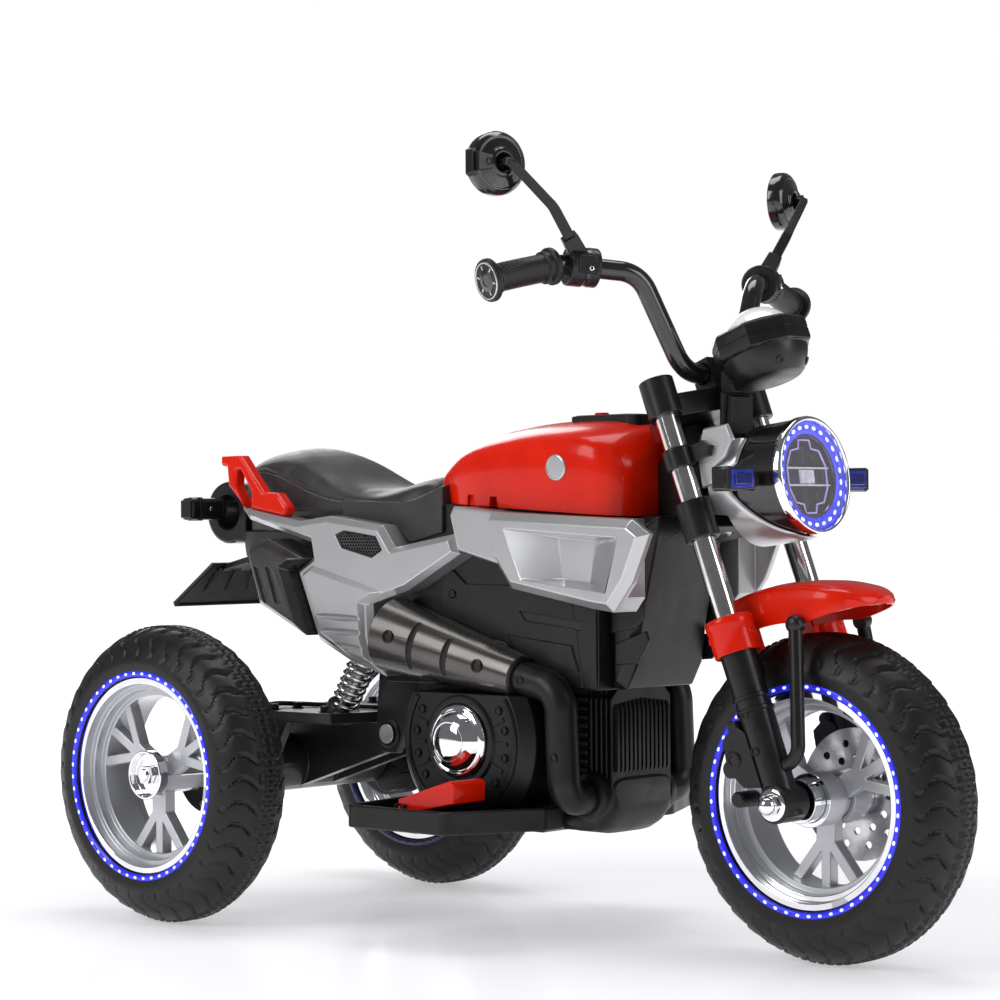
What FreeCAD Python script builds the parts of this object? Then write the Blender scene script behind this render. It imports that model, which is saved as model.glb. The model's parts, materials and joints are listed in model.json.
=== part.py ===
import FreeCAD, Part
import math
import os

# Ride-on electric motorbike with one steered front wheel and two rear wheels.
# Millimetres; X forward, Y to the rider's left, Z up; the origin is on the floor,
# midway between the axles. Fore values are measured ahead of the rear axle and
# rise values above the axle height. Paired pieces are drawn on the left side.

# Wheels
TYRE_RADIUS = 152.0
TYRE_HALF = 42.6
TREAD_HALF = 9.0
SHOULDER_RADIUS = 140.5
SHOULDER_HALF = 29.5
REAR_TRACK = 398.0
RIM_RADIUS = 100.0
RIM_HALF = 38.0
RIM_LIP = 7.0
RIM_STEP = 6.0
RIM_STEP_DEPTH = 10.0
LIGHT_WIDTH = 8.6
LIGHT_DEPTH = 4.2
AXLE_RADIUS = 6.0
HUB_RADIUS = 20.0
HUB_CUP_RADIUS = 25.0
HUB_CUP_WALL = 3.0
HUB_CUP_DEPTH = 11.0
REAR_HUB_INNER = 36.0
REAR_HUB_OUTER = 24.0
FRONT_HUB_HALF = 49.0
FRONT_CUP_INNER = 33.0
SPOKE_ARMS = 3
SPOKE_WIDTH = 21.0
SPOKE_DEPTH = 13.0
SPOKE_FORK_RADIUS = 44.0
FINGER_WIDTH = 10.0
FINGER_SPREAD = 24.0
REAR_SPOKE_OFFSET = 9.0
NUT_RADIUS = 10.0
NUT_HEIGHT = 8.0
DISC_RADIUS = 62.0
DISC_THICKNESS = 3.0
DISC_HOLE_RADIUS = 3.5
DISC_HOLE_ROWS = 2
DISC_HOLES = 12
DISC_OFFSET = 44.0

# Steering head and fork: the head point lies on the line of the fork legs
RAKE = 20.5
HEAD_FORE = 568.0
HEAD_RISE = 312.0
HEAD_TUBE_LENGTH = 84.0
HEAD_TUBE_RADIUS = 19.0
STEM_RADIUS = 12.0
STEM_SETBACK = 32.0
FORK_HALF = 70.0
FORK_TUBE_RADIUS = 11.0
LEG_RADIUS = 17.5
LEG_FOOT_RADIUS = 15.0
LEG_TOP = 176.0
LEG_FOOT = 15.0
AXLE_BOSS_RADIUS = 17.0
AXLE_BOSS_HALF = 16.5
CLAMP_HEIGHT = 37.0
CLAMP_LUG_RADIUS = 16.5
CLAMP_PLATE_HEIGHT = 23.0
CLAMP_REACH = 14.0
STEM_LUG_HALF = 17.0
STEM_LUG_REACH = 19.0
CLAMP_SWING = 34.0
CLAMP_FRONT_SETBACK = 4.0
BAR_CLAMP_LANDING = 24.0
COLLAR_RADIUS = 22.0
COLLAR_HEIGHT = 34.0
CALIPER_LENGTH = 32.0
CALIPER_HEIGHT = 62.0
CALIPER_WIDTH = 30.0
CALIPER_RISE = 18.0
STAY_RADIUS = 6.5
STAY_RISE = 32.0
STAY_FOOT = 24.0
STAY_TOP_REACH = 58.0
STAY_TOP_RISE = 150.0
STAY_BEND = 18.0

# Front fender
FENDER_RADIUS = 200.0
FENDER_WALL = 4.0
FENDER_HALF = 46.0
FENDER_EDGE = 9.0
FENDER_SKIRT = 36.0
FENDER_REAR_ANGLE = 27.0
FENDER_FRONT_ANGLE = 27.0
BEAK_REACH = 67.0
BEAK_SHOULDER = 20.0
BEAK_LIP = 11.0
FENDER_OPEN_ANGLE = 3.0

# Handlebar, grips and mirrors
BAR_RADIUS = 9.5
BAR_BEND = 34.0
BAR_CLAMP_HALF = 13.0
BAR_CLAMP_REACH = 12.0
BAR_CLAMP_RISE = 13.5
BAR_FORE = 551.0
BAR_RISE = 394.0
BAR_KNEE_HALF = 40.0
BAR_SHOULDER = (537.0, 89.0, 486.0)
BAR_ELBOW = (498.0, 157.0, 492.5)
BAR_END = (479.0, 229.0, 475.5)
GRIP_RADIUS = 13.5
GRIP_FLANGE_RADIUS = 17.5
GRIP_CAP_RADIUS = 20.0
GRIP_FLANGE_WIDTH = 5.0
GRIP_CAP_WIDTH = 6.0
ELBOW_ROOM = 7.5
SWITCH_HOUSING_RADIUS = 18.0
SWITCH_HOUSING_LENGTH = 28.0
MIRROR_FORE = 479.0
MIRROR_HALF = 220.0
MIRROR_RISE = 582.0
MIRROR_RADIUS = 29.5
MIRROR_DEPTH = 18.0
MIRROR_RIM = 5.0
MIRROR_TURN = 15.0
MIRROR_GLASS = 2.0
MIRROR_BALL_RADIUS = 6.0
MIRROR_BALL_GAP = 0.3
MIRROR_MOUTH_RADIUS = 16.0
MIRROR_MOUTH_SLOPE = 1.75
MIRROR_ARM_RADIUS = 4.0
MIRROR_ARM_BEND = 14.0
MIRROR_KNEE = (511.0, 180.0, 543.0)
MIRROR_ARM_NECK = 18.0
MIRROR_FOOT_SHARE = 0.35
MIRROR_PIVOT_INSET = 3.0

# Headlamp and dash
LAMP_FORE = 669.0
LAMP_RISE = 296.0
LAMP_TILT = 7.0
LAMP_RADIUS = 54.0
LAMP_WALL = 4.0
LAMP_LENGTH = 72.0
LAMP_BACK_RADIUS = 30.0
LAMP_TAPER = 28.0
BEZEL_RADIUS = 55.5
BEZEL_WIDTH = 8.5
BEZEL_DEPTH = 9.0
LENS_CROWN = 5.0
LENS_EDGE = 4.0
BRACKET_THICKNESS = 3.4
BRACKET_BACK_FORE = 580.0
BRACKET_BACK_HALF = 24.0
BRACKET_SIDE_LENGTH = 76.0
BRACKET_SIDE_HEIGHT = 104.0
BRACKET_SIDE_RISE = 236.0
BRACKET_RING_RADIUS = 13.2
BRACKET_RING_HEIGHT = 18.0
BRACKET_RING_REACH = 24.0
BRACKET_BACK_HEIGHT = 96.0
SIGNAL_HALF = 112.0
SIGNAL_FORE = 646.0
SIGNAL_RISE = 293.0
SIGNAL_LENGTH = 20.0
SIGNAL_HEIGHT = 24.0
SIGNAL_ROUND = 6.0
POD_FORE = 606.0
POD_LIFT = 25.0
POD_STAND = 59.0
POD_HEIGHT = 52.0
POD_TILT = 20.0
POD_FOOT_LENGTH = 16.0
POD_FOOT_HALF = 18.0
POD_FOOT_HEIGHT = 23.0
POD_RADIUS = 46.0
DOME_RADIUS = 33.0
DOME_HEIGHT = 20.0

# Body shells, tail cover and what the shells hold
BODY_HALF = 72.0
BODY_WALL = 3.0
BODY_REAR = 95.0
BODY_FRONT = 470.0
DECK_RISE = 248.0
BODY_REAR_DEPTH = 70.0
ENGINE_TOP = 94.0
HAUNCH_FRONT = 190.0
HAUNCH_REAR = 120.0
HAUNCH_RISE = 138.0
TAIL_REAR = -75.0
TAIL_SHOULDER = -30.0
TAIL_TAPER = 22.0
TAIL_DEPTH = 28.0
TAIL_REAR_DEPTH = 12.0
LUG_INNER = 31.0
LUG_THICKNESS = 9.0
LUG_RADIUS = 20.0
BATTERY_LENGTH = 151.0
BATTERY_WIDTH = 65.0
BATTERY_HEIGHT = 94.0
BATTERY_FORE = 235.0
CONTROL_BOX_LENGTH = 64.0
CONTROL_BOX_WIDTH = 80.0
CONTROL_BOX_HEIGHT = 34.0
CONTROL_BOX_GAP = 8.0
SOCKET_FORE = 310.0
SOCKET_DROP = 70.0
SOCKET_RADIUS = 10.0
SOCKET_FLANGE_RADIUS = 13.0
SOCKET_FLANGE = 2.5
SOCKET_DEPTH = 14.0
SOCKET_BORE_RADIUS = 2.75
SOCKET_BORE_DEPTH = 9.5
SCREW_RADIUS = 4.0
SCREW_HEAD = 2.4

# Tank cover, control panel, switch and button
TANK_REAR = 249.0
TANK_LENGTH = 254.0
TANK_HALF = 90.0
TANK_SEAT_REAR_LIFT = 28.0
TANK_SEAT_FRONT_LIFT = 12.0
TANK_HEIGHT = 79.0
TANK_TUCK = 4.0
TANK_WALL = 3.0
TANK_CROWN = 17.0
NOTCH_LENGTH = 14.0
NOTCH_HEIGHT = 10.0
PANEL_SETBACK = 105.0
PANEL_LENGTH = 86.0
PANEL_HALF = 32.0
PANEL_SINK = 13.0
PANEL_HEIGHT = 16.0
PANEL_ROUND = 12.0
SWITCH_INSET = 58.0
SWITCH_LENGTH = 26.0
SWITCH_HALF = 8.0
SWITCH_HEIGHT = 12.0
SWITCH_SWEEP = 2.4
SWITCH_PIN_RADIUS = 1.5
SWITCH_PIN_REACH = 3.0
BUTTON_INSET = 18.0
BUTTON_RADIUS = 7.0
BUTTON_HEIGHT = 9.0
BUTTON_PROUD = 4.0
BUTTON_TRAVEL_ROOM = 4.0

# Side scoops, tail fairings, exhaust
SCOOP_FORE = 309.0
SCOOP_DROP = 78.0
SCOOP_LENGTH = 251.0
SCOOP_HEIGHT = 101.0
SCOOP_OUTER = 113.0
SCOOP_BEVEL = 8.0
SCOOP_RECESS = 16.0
SCOOP_ARM_STEP = 6.0
SCOOP_NOSE_FORE = 528.0
SCOOP_NOSE_INNER = 98.5
FAIRING_LENGTH = 313.0
FAIRING_DROP = 147.0
FAIRING_HEIGHT = 172.0
FAIRING_OUTER = 101.0
FAIRING_BEVEL = 6.0
CHEEK_RISE = 6.0
CHEEK_SLOPE = 7.0
GRILLE_DEPTH = 4.0
SHIELD_CENTRE = 88.5
SHIELD_FRONT_FORE = 385.0
SHIELD_FRONT_RISE = 106.0
SHIELD_FRONT_RADIUS = 21.0
SHIELD_REAR_FORE = 216.0
SHIELD_REAR_RISE = 143.0
SHIELD_REAR_RADIUS = 38.0
PIPE_RADIUS = 16.0
PIPE_BEND = 27.0
PIPE_RUN = 52.0
PIPE_FORE = 440.0
PIPE_FOOT_RISE = -10.0
TIP_FORE = 24.0
TIP_DROP = 110.0
TIP_LENGTH = 88.0
TIP_HEIGHT = 102.0
TIP_OUTER = 116.0
TIP_BEVEL = 7.0
TIP_SLOT_DEPTH = 3.0

# Seat
SEAT_REAR = -74.0
SEAT_LENGTH = 320.0
SEAT_HALF = 80.0
SEAT_CREST = 71.0
SEAT_BASE_HEIGHT = 18.0
SEAT_BASE_INSET = 10.0
SEAT_DRAW_IN = 7.0
SEAT_BELLY_SHARE = 0.42
SEAT_SHOULDER_SHARE = 0.8
SEAT_EDGE_SHARE = 0.86

# Grab handles, tail hoop, rear signals, plate holder
HANDLE_INNER = 81.0
HANDLE_THICKNESS = 14.0
HANDLE_REAR = -35.0
HANDLE_LENGTH = 101.0
HANDLE_HEIGHT = 66.0
HANDLE_BEVEL = 2.5
HOOP_FORE = -104.0
HOOP_LIFT = 20.0
HOOP_RADIUS = 34.0
HOOP_HOLE_RADIUS = 17.0
HOOP_HALF = 22.0
HOOP_NECK_HALF = 22.0
REAR_SIGNAL_FORE = -114.0
REAR_SIGNAL_LIFT = 4.0
REAR_SIGNAL_REACH = 72.0
PLATE_TOP_FORE = -103.0
PLATE_TOP_DROP = 9.0
PLATE_LOW_FORE = -141.0
PLATE_DROP = 44.0
PLATE_TOP_HALF = 44.0
PLATE_LOW_HALF = 68.0
PLATE_THICKNESS = 4.0
PLATE_ARM_HALF = 28.0
PLATE_ARM_FORE = -40.0
PLATE_ARM_THICKNESS = 7.0
PLATE_ARM_LANDING = 26.0

# Engine, footboards, pedal
ENGINE_FORE = 235.0
ENGINE_LENGTH = 165.0
ENGINE_FLOOR = -47.0
ENGINE_HALF = 62.0
RADIATOR_LENGTH = 63.0
RADIATOR_HALF = 45.0
RADIATOR_FLOOR = -44.0
SUMP_CHIN = 26.0
FIN_COUNT = 10
FIN_BASE = 8.0
FIN_THICKNESS = 4.6
FIN_DEPTH = 7.0
RIB_COUNT = 5
RIB_CORNER = 9.0
COVER_FORE = 322.0
COVER_RISE = 42.0
COVER_RADIUS = 88.0
COVER_DEPTH = 44.0
COVER_BEVEL = 12.0
COVER_HEADROOM = 6.0
CAP_RADIUS = 36.0
CAP_DEPTH = 22.0
CAP_EDGE = 6.0
BOARD_FORE = 228.0
BOARD_LENGTH = 196.0
BOARD_OUTER = 190.0
BOARD_RISE = -40.0
BOARD_HEIGHT = 22.0
BOARD_FLOOR = 10.0
BOARD_RIM = 8.0
BOARD_ROUND = 14.0
PEDAL_FORE = 300.0
PEDAL_LENGTH = 74.0
PEDAL_HALF = 22.5
PEDAL_CENTRE = 149.5
PEDAL_HEIGHT = 34.0
PEDAL_LIFT = 6.0
PEDAL_PIN_RADIUS = 2.5
PEDAL_PIN_FORE = 5.0
PEDAL_EAR = 4.0
PEDAL_EAR_LENGTH = 14.0
PEDAL_EAR_HEIGHT = 15.0

# Front cowl
COWL_HALF = 58.0
COWL_FLOOR = 95.0
COWL_LENGTH = 64.0
COWL_BEVEL = 8.0
COWL_NECK_RADIUS = 27.0
COWL_WEB_HALF = 22.0

# Swing arm, gear motors, shocks
PIVOT_FORE = 160.0
PIVOT_RISE = 38.0
PIVOT_RADIUS = 6.0
PIVOT_TUBE_RADIUS = 16.0
PIVOT_HEAD_RADIUS = 10.0
PIVOT_HEAD = 5.0
SWING_HALF = 88.0
SWING_NECK_HALF = 30.0
SWING_PLATE_RISE = 59.0
SWING_PLATE = 11.0
SWING_PLATE_REAR = -30.0
SWING_PLATE_SHOULDER = 122.0
SWING_PLATE_FRONT = 150.0
SWING_WEB = 12.0
AXLE_TUBE_RADIUS = 30.0
AXLE_TUBE_HALF = 117.0
GEAR_CASE_RADIUS = 46.0
GEAR_CASE_WIDTH = 32.0
GEAR_OUTPUT_RADIUS = 16.0
MOTOR_RADIUS = 18.0
MOTOR_LENGTH = 26.0
MOTOR_FORE = 26.0
MOTOR_RISE = -22.0
SHOCK_HALF = 56.0
SHOCK_SHARE = 0.64
SHOCK_SEAT_RADIUS = 17.0
SHOCK_SEAT_HEIGHT = 9.0
SHOCK_ROD_RADIUS = 7.0
SHOCK_ROD_LENGTH = 46.0
SPRING_RADIUS = 13.5
SPRING_WIRE_RADIUS = 2.0
SPRING_TURNS = 7

# Clearances
SEAT_GAP = 0.2
CLEAR_GAP = 0.3
RUNNING_GAP = 0.05
OVERRUN = 2.0
FULL_TURN = 360.0
CORNER_SHARE = 0.45

# Places worked out from the sizes above
V = FreeCAD.Vector
AXLE_Z = TYRE_RADIUS
BODY_REAR_RISE = DECK_RISE - BODY_REAR_DEPTH
TAIL_FLOOR_RISE = DECK_RISE - TAIL_DEPTH
TAIL_REAR_FLOOR_RISE = DECK_RISE - TAIL_REAR_DEPTH
TANK_SEAT_REAR_RISE = DECK_RISE + TANK_SEAT_REAR_LIFT
TANK_SEAT_FRONT_RISE = DECK_RISE + TANK_SEAT_FRONT_LIFT
TANK_CREST_RISE = TANK_SEAT_REAR_RISE + TANK_HEIGHT
TANK_FRONT = TANK_REAR + TANK_LENGTH
PANEL_FORE = TANK_FRONT - PANEL_SETBACK
PANEL_RISE = TANK_CREST_RISE - PANEL_SINK
SWITCH_FORE = PANEL_FORE + SWITCH_INSET
BUTTON_FORE = PANEL_FORE + BUTTON_INSET
SCOOP_RISE = DECK_RISE - SCOOP_DROP
SOCKET_RISE = DECK_RISE - SOCKET_DROP
CONTROL_BOX_FORE = BATTERY_FORE + BATTERY_LENGTH + CONTROL_BOX_GAP
FAIRING_RISE = DECK_RISE - FAIRING_DROP
TIP_RISE = DECK_RISE - TIP_DROP
HOOP_RISE = DECK_RISE + HOOP_LIFT
REAR_SIGNAL_RISE = HOOP_RISE + REAR_SIGNAL_LIFT
PLATE_TOP_RISE = TAIL_FLOOR_RISE - PLATE_TOP_DROP
PLATE_LOW_RISE = PLATE_TOP_RISE - PLATE_DROP
POD_RISE = LAMP_RISE + LAMP_RADIUS + POD_LIFT
POD_RING_RISE = POD_RISE + POD_STAND
POD_ANGLE = math.radians(POD_TILT)
RAKE_ANGLE = math.radians(RAKE)
WHEELBASE = HEAD_FORE + HEAD_RISE * math.tan(RAKE_ANGLE)
REAR_X = -WHEELBASE / 2
FRONT_X = WHEELBASE / 2
HEAD_LENGTH = HEAD_RISE / math.cos(RAKE_ANGLE)
HEAD_LOW = HEAD_LENGTH - HEAD_TUBE_LENGTH / 2
HEAD_TOP = HEAD_LENGTH + HEAD_TUBE_LENGTH / 2
LOWER_CLAMP = HEAD_LOW - CLEAR_GAP - CLAMP_HEIGHT
UPPER_CLAMP = HEAD_TOP + CLEAR_GAP
FORK_TOP = UPPER_CLAMP + CLAMP_HEIGHT
LIGHT_INNER = RIM_RADIUS + CLEAR_GAP
LIGHT_OUTER = LIGHT_INNER + LIGHT_WIDTH
PANEL_INNER = BODY_HALF + SEAT_GAP
WHEEL_HALF = REAR_TRACK / 2
COWL_FORE = BODY_FRONT + SEAT_GAP
LAMP_ANGLE = math.radians(LAMP_TILT)
SEAT_RISE = DECK_RISE + SEAT_BASE_HEIGHT


def at(fore, y, rise):
    """Point at a fore and rise value."""
    return V(REAR_X + fore, y, AXLE_Z + rise)


def on_fork(shape):
    """Move a shape drawn along an upright fork to the raked fork at the front axle."""
    leaned = shape.rotated(V(0, 0, 0), V(0, 1, 0), -RAKE)
    return leaned.translated(V(FRONT_X, 0, AXLE_Z))


def fork_place(point):
    """Fork-frame place (forward, across, along) of a point of the vehicle."""
    x = point.x - FRONT_X
    z = point.z - AXLE_Z
    sine = math.sin(RAKE_ANGLE)
    cosine = math.cos(RAKE_ANGLE)
    return V(x * cosine + z * sine, point.y, z * cosine - x * sine)


def mirrored(shape):
    """The same shape on the other side of the centre plane."""
    return shape.mirror(V(0, 0, 0), V(0, 1, 0))


def both(shape):
    """A left piece and its right twin."""
    return [shape, mirrored(shape)]


def sketch(shares, fore, rise, length, height):
    """Fore and rise points of an outline given as shares of its box."""
    return [(fore + u * length, rise + w * height) for u, w in shares]


def loop(points):
    """Closed straight-sided wire."""
    return Part.makePolygon(points + points[:1])


def corner_arc(before, corner, after, radius):
    """Three points of the arc that rounds a corner."""
    back = before - corner
    ahead = after - corner
    room = CORNER_SHARE * min(back.Length, ahead.Length)
    back.normalize()
    ahead.normalize()
    half = back.getAngle(ahead) / 2
    reach = min(radius / math.tan(half), room)
    bisector = (back + ahead).normalize()
    centre = corner + bisector * (reach / math.cos(half))
    middle = centre - bisector * (reach * math.tan(half))
    return corner + back * reach, middle, corner + ahead * reach


def round_wire(points, radius, closed=True):
    """Wire through points with rounded corners."""
    count = len(points)
    inner = range(count) if closed else range(1, count - 1)
    arcs = {i: corner_arc(points[i - 1], points[i], points[(i + 1) % count], radius) for i in inner}
    edges = []
    for i in range(count if closed else count - 1):
        j = (i + 1) % count
        start = arcs[i][2] if i in arcs else points[i]
        end = arcs[j][0] if j in arcs else points[j]
        edges.append(Part.LineSegment(start, end).toShape())
        if j in arcs:
            edges.append(Part.Arc(*arcs[j]).toShape())
    return Part.Wire(edges)


def slab(points, y_low, y_high, radius=0):
    """Prism of a fore and rise outline between two planes across the vehicle."""
    corners = [at(fore, y_low, rise) for fore, rise in points]
    wire = round_wire(corners, radius) if radius else loop(corners)
    return Part.Face(wire).extrude(V(0, y_high - y_low, 0))


def plate(points, rise, height, radius=0):
    """Prism of a fore and across outline, standing up from a rise value."""
    corners = [at(fore, y, rise) for fore, y in points]
    wire = round_wire(corners, radius) if radius else loop(corners)
    return Part.Face(wire).extrude(V(0, 0, height))


def inset(points, distance):
    """Outline moved inwards by a distance."""
    count = len(points)
    area = 0
    for i in range(count):
        area += points[i - 1][0] * points[i][1] - points[i][0] * points[i - 1][1]
    turn = math.copysign(distance, area)
    sides = []
    for i in range(count):
        x0, z0 = points[i - 1]
        x1, z1 = points[i]
        length = math.hypot(x1 - x0, z1 - z0)
        dx = (x1 - x0) / length
        dz = (z1 - z0) / length
        sides.append((x0 - dz * turn, z0 + dx * turn, dx, dz))
    moved = []
    for i in range(count):
        x0, z0, dx0, dz0 = sides[i]
        x1, z1, dx1, dz1 = sides[(i + 1) % count]
        along = ((x1 - x0) * dz1 - (z1 - z0) * dx1) / (dx0 * dz1 - dz0 * dx1)
        moved.append((x0 + dx0 * along, z0 + dz0 * along))
    return moved


def tapered(points, y_low, y_high, distance):
    """Prism whose outline is moved inwards by a distance at its far plane."""
    near = loop([at(fore, y_low, rise) for fore, rise in points])
    far = loop([at(fore, y_high, rise) for fore, rise in inset(points, distance)])
    return Part.makeLoft([near, far], True, True)


def bevelled(points, y_low, y_high, bevel):
    """Prism with its far edge bevelled."""
    edge = y_high - bevel
    return slab(points, y_low, edge).fuse(tapered(points, edge, y_high, bevel)).removeSplitter()


def rod(start, end, radius):
    """Round bar between two points."""
    return Part.makeCylinder(radius, (end - start).Length, start, end - start)


def across(fore, rise, radius, y_low, y_high):
    """Round bar across the vehicle."""
    return rod(at(fore, y_low, rise), at(fore, y_high, rise), radius)


def tube(points, radius, bend):
    """Round bar along straight runs joined by arcs."""
    path = round_wire(points, bend, closed=False)
    ring = Part.Wire(Part.Circle(points[0], points[1] - points[0], radius).toShape())
    return path.makePipeShell([ring], True, False)


def turned(profile, centre, axis):
    """Solid of revolution of (radius, along) points about an axis through a centre."""
    axis = V(axis).normalize()
    side = axis.cross(V(0, 1, 0)) if abs(axis.y) < CORNER_SHARE else V(1, 0, 0)
    side = (side - axis * side.dot(axis)).normalize()
    points = [centre + side * r + axis * a for r, a in profile]
    return Part.Face(loop(points)).revolve(centre, axis, FULL_TURN)


def hexagon(centre, axis, radius, height):
    """Six-sided prism about an axis across the vehicle."""
    corners = []
    for i in range(6):
        angle = math.radians(FULL_TURN * i / 6)
        corners.append(centre + V(radius * math.cos(angle), 0, radius * math.sin(angle)))
    return Part.Face(loop(corners)).extrude(axis * height)


def bar(centre, start, end, width, y_low, y_high):
    """Flat bar in a wheel's plane between two (x, z) places from its centre."""
    run = V(end[0] - start[0], 0, end[1] - start[1])
    side = V(-run.z, 0, run.x).normalize() * (width / 2)
    base = centre + V(start[0], y_low, start[1])
    corners = [base - side, base + run - side, base + run + side, base + side]
    return Part.Face(loop(corners)).extrude(V(0, y_high - y_low, 0))


def polar(radius, angle):
    """Place at a radius and an angle, in degrees from straight down."""
    turn = math.radians(angle)
    return radius * math.sin(turn), -radius * math.cos(turn)


def export(node, *shapes):
    """Write the solids of a node."""
    Part.makeCompound(list(shapes)).exportStep("parts/" + node + ".step")


def tyre(centre):
    """Round-shouldered tyre with a ledge on each face for the light strip."""
    bead = RIM_RADIUS + SEAT_GAP
    ledge = TYRE_HALF - LIGHT_DEPTH
    edge = LIGHT_OUTER + CLEAR_GAP
    half = [(bead, ledge), (edge, ledge), (edge, TYRE_HALF)]
    crown = (TYRE_RADIUS, TREAD_HALF)
    left = [centre + V(r, a, 0) for r, a in half + [(SHOULDER_RADIUS, SHOULDER_HALF), crown]]
    right = [centre + V(r, -a, 0) for r, a in half + [(SHOULDER_RADIUS, SHOULDER_HALF), crown]]
    edges = [Part.LineSegment(right[0], left[0]).toShape()]
    edges += [Part.LineSegment(left[i], left[i + 1]).toShape() for i in range(2)]
    edges.append(Part.Arc(left[2], left[3], left[4]).toShape())
    edges.append(Part.LineSegment(left[4], right[4]).toShape())
    edges.append(Part.Arc(right[4], right[3], right[2]).toShape())
    edges += [Part.LineSegment(right[i], right[i - 1]).toShape() for i in (2, 1)]
    return Part.Face(Part.Wire(edges)).revolve(centre, V(0, 1, 0), FULL_TURN)


def light_strips(centre):
    """Light strip on each face of a wheel, on the tyre's ledge."""
    low = TYRE_HALF - LIGHT_DEPTH + SEAT_GAP
    profile = [(LIGHT_INNER, low), (LIGHT_OUTER, low), (LIGHT_OUTER, TYRE_HALF),
               (LIGHT_INNER, TYRE_HALF)]
    strip = turned(profile, centre, V(0, 1, 0))
    return [strip, strip.mirror(centre, V(0, 1, 0))]


def rim(centre, outward, spoke_offset, hub_inner, hub_outer):
    """Dished rim with three forked arms; the offset and hub ends are towards the outward side."""
    step = RIM_RADIUS - RIM_LIP - RIM_STEP
    well = step - RIM_STEP
    lip = RIM_RADIUS - RIM_LIP
    first = RIM_HALF - RIM_STEP_DEPTH
    second = first - RIM_STEP_DEPTH
    profile = [(RIM_RADIUS, RIM_HALF), (lip, RIM_HALF), (lip, first), (step, first), (step, second),
               (well, second)]
    profile += [(r, -a) for r, a in reversed(profile)]
    ring = turned(profile, centre, V(0, 1, 0))
    bore = AXLE_RADIUS + RUNNING_GAP
    hub_profile = [(bore, -hub_inner), (HUB_RADIUS, -hub_inner), (HUB_RADIUS, hub_outer),
                   (bore, hub_outer)]
    hub = turned([(r, a * outward) for r, a in hub_profile], centre, V(0, 1, 0))
    low = spoke_offset * outward - SPOKE_DEPTH / 2
    high = low + SPOKE_DEPTH
    reach = (well + step) / 2
    arms = []
    for i in range(SPOKE_ARMS):
        angle = FULL_TURN * i / SPOKE_ARMS
        root = polar(HUB_RADIUS - OVERRUN - AXLE_RADIUS, angle)
        fork = polar(SPOKE_FORK_RADIUS, angle)
        arms.append(bar(centre, root, fork, SPOKE_WIDTH, low, high))
        for spread in (-FINGER_SPREAD, 0, FINGER_SPREAD):
            start = polar(SPOKE_FORK_RADIUS - FINGER_WIDTH, angle)
            arms.append(bar(centre, start, polar(reach, angle + spread), FINGER_WIDTH, low, high))
    return ring.fuse([hub] + arms).removeSplitter()


def hub_cup(centre, outward, base):
    """Bright cup round the axle nut, on the hub's outer end."""
    bore = AXLE_RADIUS + CLEAR_GAP
    top = base + HUB_CUP_DEPTH
    inner = HUB_CUP_RADIUS - HUB_CUP_WALL
    floor = base + HUB_CUP_WALL
    profile = [(bore, base), (HUB_CUP_RADIUS, base), (HUB_CUP_RADIUS, top), (inner, top),
               (inner, floor), (bore, floor)]
    return turned([(r, a * outward) for r, a in profile], centre, V(0, 1, 0))


def hub_sleeve(centre, side):
    """Bright sleeve round the front hub, from the spokes outwards."""
    start = SPOKE_DEPTH / 2 + SEAT_GAP
    bore = HUB_RADIUS + SEAT_GAP
    profile = [(bore, start), (HUB_CUP_RADIUS, start), (HUB_CUP_RADIUS, FRONT_CUP_INNER),
               (bore, FRONT_CUP_INNER)]
    return turned([(r, a * side) for r, a in profile], centre, V(0, 1, 0))


def axle(fore_point, half, nut_from):
    """Axle rod with a nut near each end."""
    shaft = rod(fore_point + V(0, -half, 0), fore_point + V(0, half, 0), AXLE_RADIUS)
    nut = hexagon(fore_point + V(0, nut_from, 0), V(0, 1, 0), NUT_RADIUS, NUT_HEIGHT)
    nut = nut.cut(rod(fore_point, fore_point + V(0, half, 0), AXLE_RADIUS + SEAT_GAP))
    return [shaft, nut, nut.mirror(fore_point, V(0, 1, 0))]


def brake_disc(centre):
    """Perforated disc beside the left face of the front wheel."""
    inner = HUB_RADIUS + SEAT_GAP
    high = DISC_OFFSET + DISC_THICKNESS
    profile = [(inner, DISC_OFFSET), (DISC_RADIUS, DISC_OFFSET), (DISC_RADIUS, high), (inner, high)]
    disc = turned(profile, centre, V(0, 1, 0))
    holes = []
    for row in range(DISC_HOLE_ROWS):
        ring = inner + (DISC_RADIUS - inner) * (row + 1) / (DISC_HOLE_ROWS + 1)
        for i in range(DISC_HOLES):
            x, z = polar(ring, FULL_TURN * (i + row / DISC_HOLE_ROWS) / DISC_HOLES)
            base = centre + V(x, DISC_OFFSET - OVERRUN, z)
            holes.append(rod(base, base + V(0, DISC_THICKNESS + 2 * OVERRUN, 0), DISC_HOLE_RADIUS))
    return disc.cut(holes)


def fork_bar(radius, y, low, high, forward=0):
    """Round bar along the fork."""
    return Part.makeCylinder(radius, high - low, V(forward, y, low))


def fork_plate(low, height, front):
    """Clamp plate from the fork tubes back to the steering stem; its front edge is at a forward value."""
    back = -STEM_SETBACK - STEM_LUG_REACH
    half = [(front, STEM_LUG_HALF), (-CLAMP_FRONT_SETBACK, FORK_HALF), (-CLAMP_REACH, FORK_HALF),
            (back, STEM_LUG_HALF)]
    outline = half + [(f, -y) for f, y in reversed(half)]
    face = Part.Face(loop([V(f, y, low) for f, y in outline]))
    return face.extrude(V(0, 0, height))


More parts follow.
